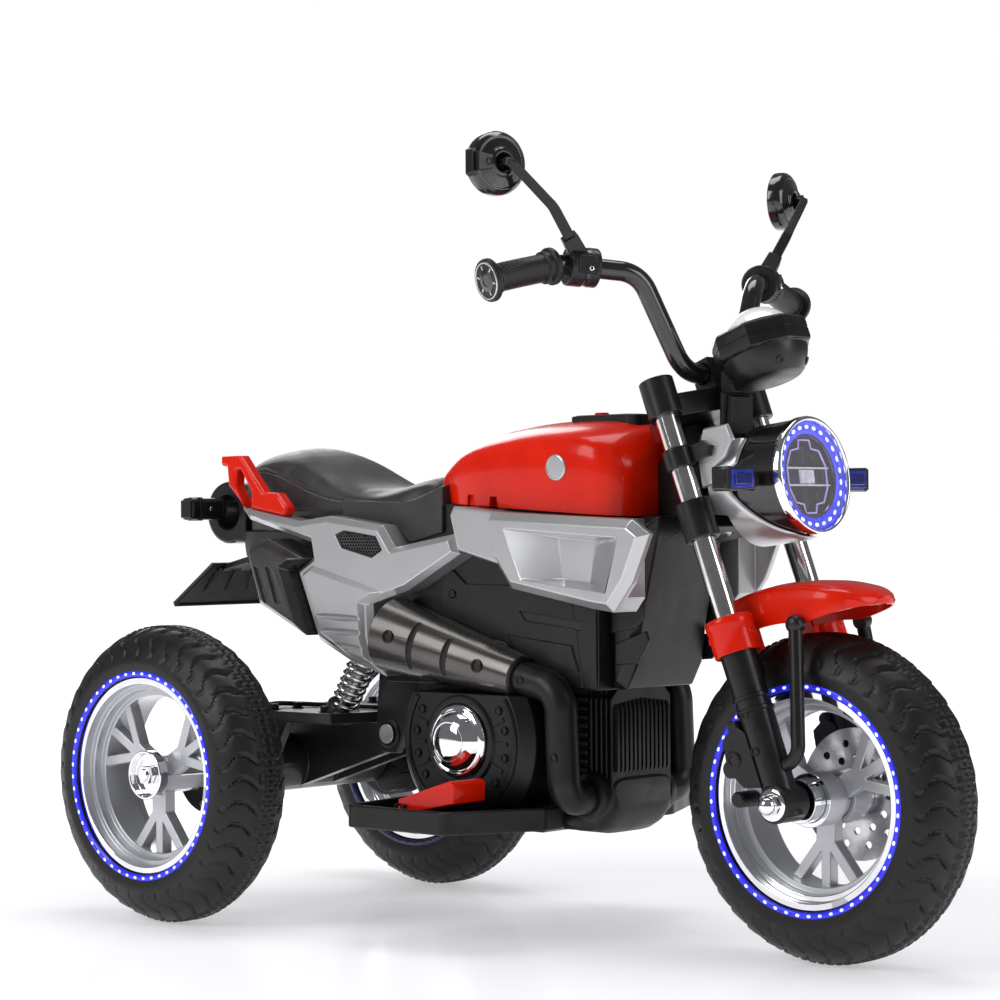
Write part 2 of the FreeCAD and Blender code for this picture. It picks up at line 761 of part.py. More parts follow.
def fork_clamp(low, plate_low, front):
    """Clamp with a lug round each fork tube and a bore for the stem."""
    body = fork_plate(plate_low, CLAMP_PLATE_HEIGHT, front)
    lugs = [fork_bar(CLAMP_LUG_RADIUS, y, low, low + CLAMP_HEIGHT) for y in (-FORK_HALF, FORK_HALF)]
    body = body.fuse(lugs)
    bores = [fork_bar(FORK_TUBE_RADIUS + SEAT_GAP, y, low - OVERRUN, low + CLAMP_HEIGHT + OVERRUN)
             for y in (-FORK_HALF, FORK_HALF)]
    stem = fork_bar(STEM_RADIUS + SEAT_GAP, 0, low - OVERRUN, low + CLAMP_HEIGHT + OVERRUN,
                    -STEM_SETBACK)
    return body.cut(bores + [stem])


def bar_clamp():
    """Block on the upper clamp that holds the handlebar."""
    seat = fork_place(at(BAR_FORE, 0, BAR_RISE))
    low = UPPER_CLAMP + CLAMP_PLATE_HEIGHT
    size = V(2 * BAR_CLAMP_REACH, 2 * BAR_CLAMP_HALF, seat.z + BAR_CLAMP_RISE - low)
    block = Part.makeBox(size.x, size.y, size.z, V(seat.x - BAR_CLAMP_REACH, -BAR_CLAMP_HALF, low))
    bore = rod(V(seat.x, -BAR_CLAMP_HALF - OVERRUN, seat.z),
               V(seat.x, BAR_CLAMP_HALF + OVERRUN, seat.z), BAR_RADIUS + SEAT_GAP)
    return block.cut(bore)


def fork_clamps():
    """Lower clamp, upper clamp and handlebar clamp."""
    lower = fork_clamp(LOWER_CLAMP, LOWER_CLAMP + CLAMP_HEIGHT - CLAMP_PLATE_HEIGHT,
                       -CLAMP_FRONT_SETBACK)
    upper = fork_clamp(UPPER_CLAMP, UPPER_CLAMP, BAR_CLAMP_LANDING)
    return [on_fork(lower), on_fork(upper), on_fork(bar_clamp())]


def fork_tubes():
    """Two fork tubes and the steering stem between the clamps."""
    low = LEG_TOP + SEAT_GAP
    tubes = [fork_bar(FORK_TUBE_RADIUS, y, low, FORK_TOP) for y in (-FORK_HALF, FORK_HALF)]
    stem_top = UPPER_CLAMP + CLAMP_PLATE_HEIGHT
    stem_low = LOWER_CLAMP + CLAMP_HEIGHT - CLAMP_PLATE_HEIGHT
    stem = fork_bar(STEM_RADIUS, 0, stem_low, stem_top, -STEM_SETBACK)
    return [on_fork(shape) for shape in tubes + [stem]]


def leg_core(extra):
    """Tapered round of a fork leg, grown by an extra radius."""
    length = LEG_TOP + LEG_FOOT
    return Part.makeCone(LEG_FOOT_RADIUS + extra, LEG_RADIUS + extra, length,
                         V(0, FORK_HALF, -LEG_FOOT))


def fork_leg():
    """Left fork leg with its axle boss."""
    boss = Part.makeCylinder(AXLE_BOSS_RADIUS, 2 * AXLE_BOSS_HALF, V(0, FORK_HALF - AXLE_BOSS_HALF, 0),
                             V(0, 1, 0))
    reach = 2 * FORK_HALF
    hole = Part.makeCylinder(AXLE_RADIUS + SEAT_GAP, reach, V(0, 0, 0), V(0, 1, 0))
    return leg_core(0).fuse(boss).cut(hole).removeSplitter()


def caliper():
    """Dummy caliper behind a fork leg."""
    shares = [(0.0, 0.0), (0.62, 0.1), (1.0, 0.44), (0.84, 0.88), (0.3, 1.0), (0.0, 0.84)]
    points = [V(-u * CALIPER_LENGTH - LEG_FOOT_RADIUS / 2, FORK_HALF - CALIPER_WIDTH / 2,
                CALIPER_RISE + w * CALIPER_HEIGHT)
              for u, w in shares]
    block = Part.Face(loop(points)).extrude(V(0, CALIPER_WIDTH, 0))
    return block.cut(leg_core(SEAT_GAP))


def fender_stay():
    """Bent rod from the front of a fork leg up to the fender's side."""
    side = FENDER_HALF + STAY_RADIUS + CLEAR_GAP
    foot = LEG_RADIUS + SEAT_GAP
    points = [V(0, FORK_HALF, STAY_RISE), V(foot + STAY_FOOT / 2, FORK_HALF, STAY_RISE),
              V(STAY_TOP_REACH, side, STAY_TOP_RISE)]
    return tube(points, STAY_RADIUS, STAY_BEND).cut(leg_core(SEAT_GAP))


def fork_legs():
    """Fork legs, dummy calipers and fender stays."""
    shapes = []
    for shape in (fork_leg(), caliper(), fender_stay()):
        shapes += both(on_fork(shape))
    return shapes


def fender_arch(centre, section, extra_angle):
    """Section of (radius, across) points swept round the axle, from the fender's rear to its front."""
    points = [centre + V(0, a, r) for r, a in section + [(r, -a) for r, a in reversed(section)]]
    sweep = FENDER_REAR_ANGLE + extra_angle
    face = Part.Face(loop(points)).rotated(centre, V(0, 1, 0), -sweep)
    return face.revolve(centre, V(0, 1, 0), sweep + FENDER_FRONT_ANGLE)


def fender_plan(centre, half, reach):
    """Upright prism of the fender's plan with a rounded nose."""
    # bow and cheek as shares of the nose's run and half-width
    nose_shares = [(0.55, 0.84), (0.86, 0.5)]
    run = reach - BEAK_SHOULDER
    shoulder = V(BEAK_SHOULDER, half, 0)
    bow, cheek = [V(BEAK_SHOULDER + u * run, w * half, 0) for u, w in nose_shares]
    left = [centre + p for p in (V(-FENDER_RADIUS, half, 0), shoulder, bow, cheek)]
    right = [centre + V(p.x, -p.y, 0) for p in (V(-FENDER_RADIUS, half, 0), shoulder, bow, cheek)]
    edges = [Part.LineSegment(left[0], left[1]).toShape(),
             Part.Arc(left[1], left[2], left[3]).toShape(),
             Part.Arc(left[3], centre + V(reach, 0, 0), right[3]).toShape(),
             Part.Arc(right[3], right[2], right[1]).toShape(),
             Part.LineSegment(right[1], right[0]).toShape(),
             Part.LineSegment(right[0], left[0]).toShape()]
    return Part.Face(Part.Wire(edges)).extrude(V(0, 0, FENDER_RADIUS + OVERRUN))


def front_fender(centre):
    """Arched fender with drop sides, a rounded nose and a collar on each fork leg."""
    outer = FENDER_RADIUS
    skirt = FENDER_RADIUS - FENDER_SKIRT
    edge = outer - FENDER_EDGE
    inner_half = FENDER_HALF - FENDER_WALL
    outside = fender_arch(centre, [(skirt, FENDER_HALF), (edge, FENDER_HALF),
                                   (outer, FENDER_HALF - FENDER_EDGE)], 0)
    inside = fender_arch(centre, [(skirt - OVERRUN, inner_half), (edge - FENDER_WALL / 2, inner_half),
                                  (outer - FENDER_WALL, inner_half - FENDER_EDGE)], FENDER_OPEN_ANGLE)
    outside = outside.common(fender_plan(centre, FENDER_HALF + OVERRUN, BEAK_REACH))
    inside = inside.common(fender_plan(centre, FENDER_HALF + OVERRUN - FENDER_WALL,
                                       BEAK_REACH - FENDER_WALL))
    tip = math.sqrt(outer ** 2 - BEAK_REACH ** 2) - BEAK_LIP
    side = [(BEAK_SHOULDER, 0), (BEAK_REACH + OVERRUN, 0), (BEAK_REACH + OVERRUN, tip),
            (BEAK_SHOULDER, math.sqrt(skirt ** 2 - BEAK_SHOULDER ** 2))]
    corners = [centre + V(x, -2 * FENDER_HALF, z) for x, z in side]
    under = Part.Face(loop(corners)).extrude(V(0, 4 * FENDER_HALF, 0))
    arch = outside.cut([inside, under])
    low = LEG_TOP - COLLAR_HEIGHT
    collar = fork_bar(COLLAR_RADIUS, FORK_HALF, low, LEG_TOP)
    arm_low = V(-COLLAR_RADIUS / 2, inner_half, low)
    arm = Part.makeBox(COLLAR_RADIUS, FORK_HALF - inner_half, COLLAR_HEIGHT, arm_low)
    web = Part.makeBox(COLLAR_RADIUS, FENDER_WALL, COLLAR_HEIGHT + FENDER_SKIRT / 2, arm_low)
    collar = on_fork(collar.fuse([arm, web]).cut(leg_core(SEAT_GAP)))
    return arch.fuse(both(collar)).removeSplitter()


def bar_points():
    """Centre line of the left half of the handlebar."""
    return [at(BAR_FORE, 0, BAR_RISE), at(BAR_FORE, BAR_KNEE_HALF, BAR_RISE), at(*BAR_SHOULDER),
            at(*BAR_ELBOW), at(*BAR_END)]


def handlebar():
    """One bent tube from grip to grip."""
    left = bar_points()
    right = [V(p.x, -p.y, p.z) for p in reversed(left[1:])]
    return tube(right + left[1:], BAR_RADIUS, BAR_BEND)


def grip_frame():
    """Start, outward direction and length of the left grip."""
    start = at(*BAR_ELBOW)
    run = at(*BAR_END) - start
    length = run.Length
    return start, run.normalize(), length


def grip():
    """Left grip with its inner flange, and its end cap."""
    start, run, length = grip_frame()
    bore = BAR_RADIUS + SEAT_GAP
    near = ELBOW_ROOM
    flange = near + GRIP_FLANGE_WIDTH
    profile = [(bore, near), (GRIP_FLANGE_RADIUS, near), (GRIP_FLANGE_RADIUS, flange),
               (GRIP_RADIUS, flange),
               (GRIP_RADIUS, length), (bore, length)]
    cap = rod(start + run * (length + SEAT_GAP), start + run * (length + GRIP_CAP_WIDTH),
              GRIP_CAP_RADIUS)
    return [turned(profile, start, run), cap]


def switch_housing_run():
    """Ends of the mirror clamp on the straight bar inboard of the left grip."""
    shoulder = at(*BAR_SHOULDER)
    elbow = at(*BAR_ELBOW)
    run = (elbow - shoulder).normalize()
    end = elbow - run * ELBOW_ROOM
    return end - run * SWITCH_HOUSING_LENGTH, end


def mirror_normal():
    """Forward direction of the left mirror head."""
    turn = math.radians(MIRROR_TURN)
    return V(math.cos(turn), math.sin(turn), 0)


def mirror_pivot():
    """Ball joint of the left mirror head."""
    return at(MIRROR_FORE, MIRROR_HALF, MIRROR_RISE) + mirror_normal() * MIRROR_PIVOT_INSET


def mirror_arm():
    """Mirror clamp on the bar and the bent arm that ends in the ball."""
    start, end = switch_housing_run()
    clamp = rod(start, end, SWITCH_HOUSING_RADIUS)
    foot = start + (end - start) * MIRROR_FOOT_SHARE
    neck = mirror_pivot() + mirror_normal() * MIRROR_ARM_NECK
    points = [foot, at(*MIRROR_KNEE), neck, mirror_pivot()]
    arm = tube(points, MIRROR_ARM_RADIUS, MIRROR_ARM_BEND)
    ball = Part.makeSphere(MIRROR_BALL_RADIUS, mirror_pivot(), mirror_normal())
    run = (end - start).normalize()
    bore = rod(start - run * OVERRUN, end + run * OVERRUN, BAR_RADIUS + SEAT_GAP)
    return clamp.fuse([arm, ball]).cut(bore).removeSplitter()


def mirror_head():
    """Left mirror housing with its ball socket, and the glass in its rear face."""
    normal = mirror_normal()
    centre = at(MIRROR_FORE, MIRROR_HALF, MIRROR_RISE)
    back = -MIRROR_DEPTH / 2
    front = MIRROR_DEPTH / 2
    rim_radius = MIRROR_RADIUS - MIRROR_RIM
    profile = [(0, back + MIRROR_GLASS), (rim_radius, back + MIRROR_GLASS), (rim_radius, back),
               (MIRROR_RADIUS, back),
               (MIRROR_RADIUS, front - MIRROR_RIM), (rim_radius, front), (0, front)]
    housing = turned(profile, centre, normal)
    pivot = mirror_pivot()
    socket = Part.makeSphere(MIRROR_BALL_RADIUS + MIRROR_BALL_GAP, pivot, normal)
    mouth = Part.makeCone(0, MIRROR_MOUTH_RADIUS, MIRROR_MOUTH_RADIUS / MIRROR_MOUTH_SLOPE, pivot,
                          normal)
    housing = housing.cut([socket, mouth])
    glass = rod(centre + normal * (back + SEAT_GAP), centre + normal * (back + MIRROR_GLASS - SEAT_GAP),
                rim_radius - SEAT_GAP)
    return [housing, glass]


def lamp_frame():
    """Centre and forward direction of the headlamp."""
    return at(LAMP_FORE, 0, LAMP_RISE), V(math.cos(LAMP_ANGLE), 0, math.sin(LAMP_ANGLE))


def headlamp_shell():
    """Hollow lamp bucket, open to the front."""
    centre, forward = lamp_frame()
    back = -LAMP_LENGTH - BEZEL_DEPTH / 2
    front = -BEZEL_DEPTH / 2
    inner = LAMP_RADIUS - LAMP_WALL
    profile = [(0, back), (LAMP_BACK_RADIUS, back), (LAMP_RADIUS, back + LAMP_TAPER),
               (LAMP_RADIUS, front), (inner, front), (inner, back + LAMP_TAPER + LAMP_WALL / 2),
               (LAMP_BACK_RADIUS - LAMP_WALL / 2, back + LAMP_WALL), (0, back + LAMP_WALL)]
    return turned(profile, centre, forward)


def headlamp_lens():
    """Bezel ring and the crowned lens inside it."""
    centre, forward = lamp_frame()
    low = -BEZEL_DEPTH / 2 + SEAT_GAP
    high = BEZEL_DEPTH / 2
    inner = BEZEL_RADIUS - BEZEL_WIDTH
    ring = [(inner, low), (BEZEL_RADIUS, low), (BEZEL_RADIUS, high - LENS_EDGE),
            (inner + LENS_EDGE, high), (inner, high)]
    glass = inner - SEAT_GAP
    lens = [(0, low), (glass, low), (glass, low + LENS_EDGE), (glass / 2, low + LENS_CROWN),
            (0, low + LENS_CROWN)]
    return [turned(ring, centre, forward), turned(lens, centre, forward)]


def bracket_side_points():
    """Side plate of the headlamp bracket."""
    shares = [(0.0, 0.38), (0.08, 0.96), (0.5, 1.0), (0.74, 0.8), (1.0, 0.5), (0.86, 0.12), (0.44, 0.0),
              (0.12, 0.1)]
    return sketch(shares, BRACKET_BACK_FORE, BRACKET_SIDE_RISE, BRACKET_SIDE_LENGTH,
                  BRACKET_SIDE_HEIGHT)


def bracket_ring():
    """Left ring of the headlamp bracket round its fork tube, with a lug towards the side plate."""
    low = HEAD_LENGTH - BRACKET_RING_HEIGHT / 2
    inner = LAMP_RADIUS + CLEAR_GAP
    ring = fork_bar(BRACKET_RING_RADIUS, FORK_HALF, low, low + BRACKET_RING_HEIGHT)
    lug = Part.makeBox(BRACKET_RING_REACH, FORK_HALF - inner, BRACKET_RING_HEIGHT, V(0, inner, low))
    bore = fork_bar(FORK_TUBE_RADIUS + SEAT_GAP, FORK_HALF, low - OVERRUN,
                    low + BRACKET_RING_HEIGHT + OVERRUN)
    return on_fork(ring.fuse(lug).cut(bore))


def headlamp_bracket():
    """Back plate under the dash pod, a side plate on each side of the lamp and rings on the fork tubes."""
    front = BRACKET_BACK_FORE + BRACKET_THICKNESS
    inner = LAMP_RADIUS + CLEAR_GAP
    outer = inner + BRACKET_THICKNESS
    low = POD_RISE - BRACKET_BACK_HEIGHT
    link_top = BRACKET_SIDE_RISE + BRACKET_SIDE_HEIGHT - BRACKET_THICKNESS
    back = slab([(BRACKET_BACK_FORE, low), (front, low), (front, POD_RISE),
                 (BRACKET_BACK_FORE, POD_RISE)],
                -BRACKET_BACK_HALF, BRACKET_BACK_HALF)
    link = slab([(BRACKET_BACK_FORE, low), (front, low), (front, link_top),
                 (BRACKET_BACK_FORE, link_top)], -outer, outer)
    side = slab(bracket_side_points(), inner, outer)
    centre, forward = lamp_frame()
    lamp_zone = rod(centre - forward * (LAMP_LENGTH + BEZEL_DEPTH / 2 + SEAT_GAP), centre,
                    LAMP_RADIUS + SEAT_GAP)
    lug = fork_bar(CLAMP_LUG_RADIUS + CLEAR_GAP, FORK_HALF, LOWER_CLAMP - CLEAR_GAP,
                   LOWER_CLAMP + CLAMP_HEIGHT + CLEAR_GAP)
    bracket = back.fuse([link] + both(side) + both(bracket_ring()))
    return bracket.cut([lamp_zone] + both(on_fork(lug))).removeSplitter()


def signal(fore, rise, y_low, y_high):
    """Rounded turn signal reaching out to the left."""
    half = SIGNAL_LENGTH / 2
    height = SIGNAL_HEIGHT / 2
    corners = [(fore - half, rise - height), (fore + half, rise - height), (fore + half, rise + height),
               (fore - half, rise + height)]
    return slab(corners, y_low, y_high, SIGNAL_ROUND)


def dash_pod():
    """Bowl-shaped instrument pod leaning towards the rider, on a foot, and the pale dome on its top."""
    # radius and height as shares of the pod's radius and height
    shares = [(0.0, 0.0), (0.6, 0.0), (0.95, 0.5), (1.0, 0.6), (1.0, 0.9), (0.88, 1.0), (0.0, 1.0)]
    up = V(-math.sin(POD_ANGLE), 0, math.cos(POD_ANGLE))
    top = at(POD_FORE, 0, POD_RING_RISE)
    base = top - up * POD_HEIGHT
    pod = turned([(u * POD_RADIUS, w * POD_HEIGHT) for u, w in shares], base, up)
    middle = BRACKET_BACK_FORE + BRACKET_THICKNESS / 2
    corner = at(middle - POD_FOOT_LENGTH / 4, -POD_FOOT_HALF, POD_RISE + SEAT_GAP)
    foot = Part.makeBox(POD_FOOT_LENGTH, 2 * POD_FOOT_HALF, POD_FOOT_HEIGHT, corner)
    seat = top + up * SEAT_GAP
    ball = (DOME_RADIUS ** 2 + DOME_HEIGHT ** 2) / (2 * DOME_HEIGHT)
    dome = Part.makeSphere(ball, seat + up * (DOME_HEIGHT - ball))
    keep = Part.makeCylinder(DOME_RADIUS + OVERRUN, DOME_HEIGHT + OVERRUN, seat, up)
    return [pod.fuse(foot).removeSplitter(), dome.common(keep)]


def tank_seat(fore):
    """Rise of the tank's seat on the body shells."""
    slope = (TANK_SEAT_FRONT_RISE - TANK_SEAT_REAR_RISE) / TANK_LENGTH
    return TANK_SEAT_REAR_RISE + slope * (fore - TANK_REAR)


def body_points():
    """Side outline of the body shells."""
    top = tank_seat(TANK_REAR - OVERRUN) - CLEAR_GAP
    return [(BODY_REAR, DECK_RISE), (TANK_REAR - OVERRUN, DECK_RISE), (TANK_REAR - OVERRUN, top),
            (BODY_FRONT, tank_seat(BODY_FRONT) - CLEAR_GAP), (BODY_FRONT, ENGINE_TOP),
            (HAUNCH_FRONT, ENGINE_TOP), (HAUNCH_REAR, HAUNCH_RISE), (BODY_REAR, BODY_REAR_RISE)]


def pivot_lug():
    """Left lug that hangs from the body shell and holds the swing arm's pin."""
    low = [(PIVOT_FORE - LUG_RADIUS, PIVOT_RISE),
           (PIVOT_FORE - LUG_RADIUS / 2, PIVOT_RISE - LUG_RADIUS),
           (PIVOT_FORE + LUG_RADIUS / 2, PIVOT_RISE - LUG_RADIUS),
           (PIVOT_FORE + LUG_RADIUS, PIVOT_RISE)]
    top = [(HAUNCH_FRONT + LUG_RADIUS, ENGINE_TOP + BODY_WALL),
           ((HAUNCH_FRONT + HAUNCH_REAR) / 2 - LUG_RADIUS / 4, HAUNCH_RISE)]
    lug = slab(low + top, LUG_INNER, LUG_INNER + LUG_THICKNESS)
    return lug.cut(across(PIVOT_FORE, PIVOT_RISE, PIVOT_RADIUS + SEAT_GAP, 0, BODY_HALF))


def body_half():
    """Left body half: a hollow shell open on the centre plane, with the pivot lug."""
    points = body_points()
    hollow = slab(inset(points, BODY_WALL), -OVERRUN, BODY_HALF - BODY_WALL)
    return slab(points, 0, BODY_HALF).cut(hollow).fuse(pivot_lug()).removeSplitter()


def socketed_half():
    """Left body half with the hole for the charging socket."""
    start = BODY_HALF - BODY_WALL - OVERRUN
    hole = across(SOCKET_FORE, SOCKET_RISE, SOCKET_RADIUS + SEAT_GAP, start, BODY_HALF + OVERRUN)
    return body_half().cut(hole)


def charge_socket():
    """Flanged charging socket with a blind bore for the plug."""
    flange = across(SOCKET_FORE, SOCKET_RISE, SOCKET_FLANGE_RADIUS, BODY_HALF,
                    BODY_HALF + SOCKET_FLANGE)
    barrel = across(SOCKET_FORE, SOCKET_RISE, SOCKET_RADIUS, BODY_HALF - SOCKET_DEPTH, BODY_HALF)
    mouth = BODY_HALF + SOCKET_FLANGE
    bore = across(SOCKET_FORE, SOCKET_RISE, SOCKET_BORE_RADIUS, mouth - SOCKET_BORE_DEPTH, mouth)
    return barrel.fuse(flange).cut(bore).removeSplitter()


def inner_box(fore, length, width, height):
    """Box standing on the floor of the body shells."""
    corner = at(fore, -width / 2, ENGINE_TOP + BODY_WALL)
    return Part.makeBox(length, width, height, corner)


def body_screws():
    """Pan-head screws on the open sides of the body shells."""
    shares = [(0.48, 0.578), (0.667, 0.468), (0.867, 0.35), (0.96, 0.156)]
    points = sketch(shares, BODY_REAR, ENGINE_TOP, BODY_FRONT - BODY_REAR, DECK_RISE - ENGINE_TOP)
    heads = []
    for fore, rise in points:
        heads += both(across(fore, rise, SCREW_RADIUS, BODY_HALF, BODY_HALF + SCREW_HEAD))
    return heads


def tail_cover():
    """Black under-tail behind the body shells."""
    points = [(BODY_REAR - SEAT_GAP, DECK_RISE), (TAIL_REAR, DECK_RISE),
              (TAIL_REAR, TAIL_REAR_FLOOR_RISE), (PLATE_ARM_FORE - PLATE_ARM_LANDING, TAIL_FLOOR_RISE),
              (BODY_REAR - SEAT_GAP, TAIL_FLOOR_RISE)]
    half = bevelled(points, 0, BODY_HALF, OVERRUN)
    left = [(BODY_REAR, BODY_HALF), (TAIL_SHOULDER, BODY_HALF - TAIL_TAPER),
            (TAIL_REAR, HOOP_HALF + OVERRUN)]
    plan = plate(left + [(fore, -y) for fore, y in reversed(left)], TAIL_FLOOR_RISE,
                 DECK_RISE - TAIL_FLOOR_RISE)
    return half.fuse(mirrored(half)).common(plan).removeSplitter()


def tank_sections(side, top, low, ends):
    """Cross-sections of the tank, drawn in by side, top and end allowances."""
    # fore, half-width, shoulder and crest as shares of the tank's length, half-width and crest height
    section_shares = [(0.0, 0.6, 0.2, 0.34), (0.05, 0.7, 0.36, 0.56), (0.18, 0.85, 0.54, 0.82),
                      (0.4, 0.95, 0.67, 0.955), (0.63, 1.0, 0.73, 1.0), (0.85, 1.0, 0.71, 0.985),
                      (0.95, 0.92, 0.57, 0.89), (1.0, 0.74, 0.37, 0.7)]
    height = TANK_CREST_RISE - TANK_SEAT_REAR_RISE
    wires = []
    for u, wide, shoulder, crest in section_shares:
        fore = TANK_REAR + ends + u * (TANK_LENGTH - 2 * ends)
        half = TANK_HALF * wide - side
        floor = tank_seat(fore) - low
        mid = TANK_SEAT_REAR_RISE + shoulder * height - top
        high = TANK_SEAT_REAR_RISE + crest * height - top
        tuck = half - TANK_TUCK
        left = at(fore, half, mid)
        right = at(fore, -half, mid)
        foot_left = at(fore, tuck, floor)
        foot_right = at(fore, -tuck, floor)
        edges = [Part.LineSegment(foot_right, foot_left).toShape(),
                 Part.LineSegment(foot_left, left).toShape(),
                 Part.Arc(left, at(fore, 0, high), right).toShape(),
                 Part.LineSegment(right, foot_right).toShape()]
        wires.append(Part.Wire(edges))
    return wires


def stem_zone(radius):
    """Round space about the steering stem, along the head tube."""
    return on_fork(fork_bar(radius, 0, HEAD_LOW + CLEAR_GAP, HEAD_TOP - CLEAR_GAP, -STEM_SETBACK))


def panel_prism(extra, low, height):
    """Prism of the control panel's outline, grown by an extra margin."""
    rear = PANEL_FORE - extra
    front = PANEL_FORE + PANEL_LENGTH + extra
    half = PANEL_HALF + extra
    return plate([(rear, -half), (front, -half), (front, half), (rear, half)], low, height, PANEL_ROUND)


def clamp_swing_zone():
    """Round space that the upper clamp's rear lug sweeps."""
    return on_fork(fork_bar(CLAMP_SWING, 0, HEAD_TOP - OVERRUN, FORK_TOP, -STEM_SETBACK))


def tank_cover():
    """Hollow tank with a pocket for the control panel."""
    outer = Part.makeLoft(tank_sections(0, 0, 0, 0), True, False)
    inner = Part.makeLoft(tank_sections(TANK_WALL, TANK_CROWN, TANK_CROWN, TANK_WALL), True, False)
    pocket = panel_prism(CLEAR_GAP, PANEL_RISE, TANK_CROWN + PANEL_HEIGHT)
    notch_shares = [(0.0, 0.0), (1.0, 0.0), (0.85, 1.0), (0.15, 1.0)]
    notches = []
    for place_share in (0.215, 0.35):
        fore = TANK_REAR + place_share * TANK_LENGTH
        low = tank_seat(fore) - OVERRUN
        points = sketch(notch_shares, fore, low, NOTCH_LENGTH, NOTCH_HEIGHT + OVERRUN)
        notches += both(slab(points, BODY_HALF, TANK_HALF + OVERRUN))
    zones = [stem_zone(COWL_NECK_RADIUS + CLEAR_GAP), clamp_swing_zone()]
    return outer.cut([inner, pocket] + notches + zones)


def switch_seat():
    """Rise of the drive switch's pin."""
    return PANEL_RISE + PANEL_HEIGHT - SWITCH_HEIGHT / 2


def control_panel():
    """Panel on the tank with a well for the switch and a bore for the button."""
    panel = panel_prism(0, PANEL_RISE, PANEL_HEIGHT)
    rear = SWITCH_FORE - SWITCH_LENGTH / 2 - SWITCH_SWEEP
    front = SWITCH_FORE + SWITCH_LENGTH / 2 + SWITCH_SWEEP
    floor = switch_seat() - SWITCH_HEIGHT / 2 - SWITCH_SWEEP
    half = SWITCH_HALF + CLEAR_GAP
    well = plate([(rear, -half), (front, -half), (front, half), (rear, half)], floor, PANEL_HEIGHT)
    reach = SWITCH_HALF + SWITCH_PIN_REACH + CLEAR_GAP
    pin = across(SWITCH_FORE, switch_seat(), SWITCH_PIN_RADIUS + RUNNING_GAP, -reach, reach)
    base = PANEL_RISE + PANEL_HEIGHT + BUTTON_PROUD - BUTTON_HEIGHT - BUTTON_TRAVEL_ROOM
    bore = rod(at(BUTTON_FORE, 0, base), at(BUTTON_FORE, 0, base + PANEL_HEIGHT),
               BUTTON_RADIUS + CLEAR_GAP)
    return panel.cut([well, pin, bore])


def drive_switch():
    """Rocker with a dished top, on its pin."""
    shares = [(0.0, 0.3), (0.3, 0.0), (0.7, 0.0), (1.0, 0.3), (1.0, 1.0), (0.5, 0.72), (0.0, 1.0)]
    points = sketch(shares, SWITCH_FORE - SWITCH_LENGTH / 2, switch_seat() - SWITCH_HEIGHT / 2,
                    SWITCH_LENGTH, SWITCH_HEIGHT)
    reach = SWITCH_HALF + SWITCH_PIN_REACH
    pin = across(SWITCH_FORE, switch_seat(), SWITCH_PIN_RADIUS, -reach, reach)
    return slab(points, -SWITCH_HALF, SWITCH_HALF).fuse(pin).removeSplitter()


def horn_button():
    """Round push button in the panel."""
    top = PANEL_RISE + PANEL_HEIGHT + BUTTON_PROUD
    return rod(at(BUTTON_FORE, 0, top - BUTTON_HEIGHT), at(BUTTON_FORE, 0, top), BUTTON_RADIUS)


def side_scoop():
    """Left scoop panel with a pocket, a lower rear arm, and a nose cut back for the fork."""
    shares = [(0.02, 1.0), (0.27, 0.94), (0.92, 0.86), (1.0, 0.73), (0.92, 0.28), (0.83, 0.0),
              (0.73, 0.03), (0.32, 0.21),
              (0.25, 0.44), (0.04, 0.57), (0.0, 0.92)]
    window_shares = [(0.3, 0.78), (0.87, 0.69), (0.81, 0.18), (0.39, 0.3)]
    floor_shares = [(0.53, 0.7), (0.71, 0.665), (0.69, 0.265), (0.555, 0.3)]
    arm_shares = [(-0.1, 1.1), (0.2, 1.1), (0.24, 0.8), (0.27, 0.3), (-0.1, 0.3)]
    box = (SCOOP_FORE, SCOOP_RISE, SCOOP_LENGTH, SCOOP_HEIGHT)
    window = sketch(window_shares, *box)
    floor = sketch(floor_shares, *box)
    panel = bevelled(sketch(shares, *box), PANEL_INNER, SCOOP_OUTER, SCOOP_BEVEL)
    mouth = loop([at(fore, SCOOP_OUTER, rise) for fore, rise in window])
    bottom = loop([at(fore, SCOOP_OUTER - SCOOP_RECESS, rise) for fore, rise in floor])
    pocket = Part.makeLoft([bottom, mouth], True, True)
    arm = slab(sketch(arm_shares, *box), SCOOP_OUTER - SCOOP_ARM_STEP, SCOOP_OUTER + OVERRUN)
    end = SCOOP_FORE + SCOOP_LENGTH + OVERRUN
    top = SCOOP_RISE + SCOOP_HEIGHT + OVERRUN
    nose = slab([(SCOOP_NOSE_FORE, SCOOP_RISE - OVERRUN), (end, SCOOP_RISE - OVERRUN), (end, top),
                 (SCOOP_NOSE_FORE, top)],
                0, SCOOP_NOSE_INNER)
    tank_zone = Part.makeLoft(tank_sections(-CLEAR_GAP, -CLEAR_GAP, CLEAR_GAP, -CLEAR_GAP), True, False)
    return panel.cut([pocket, arm, nose, tank_zone])


def shield_ends():
    """Front and rear ends of the left exhaust shield's axis."""
    front = at(SHIELD_FRONT_FORE, SHIELD_CENTRE, SHIELD_FRONT_RISE)
    rear = at(SHIELD_REAR_FORE, SHIELD_CENTRE, SHIELD_REAR_RISE)
    return front, rear


def shield_cone(extra):
    """Tapered round of the exhaust shield, grown by an extra radius."""
    front, rear = shield_ends()
    return Part.makeCone(SHIELD_FRONT_RADIUS + extra, SHIELD_REAR_RADIUS + extra, (rear - front).Length,
                         front, rear - front)


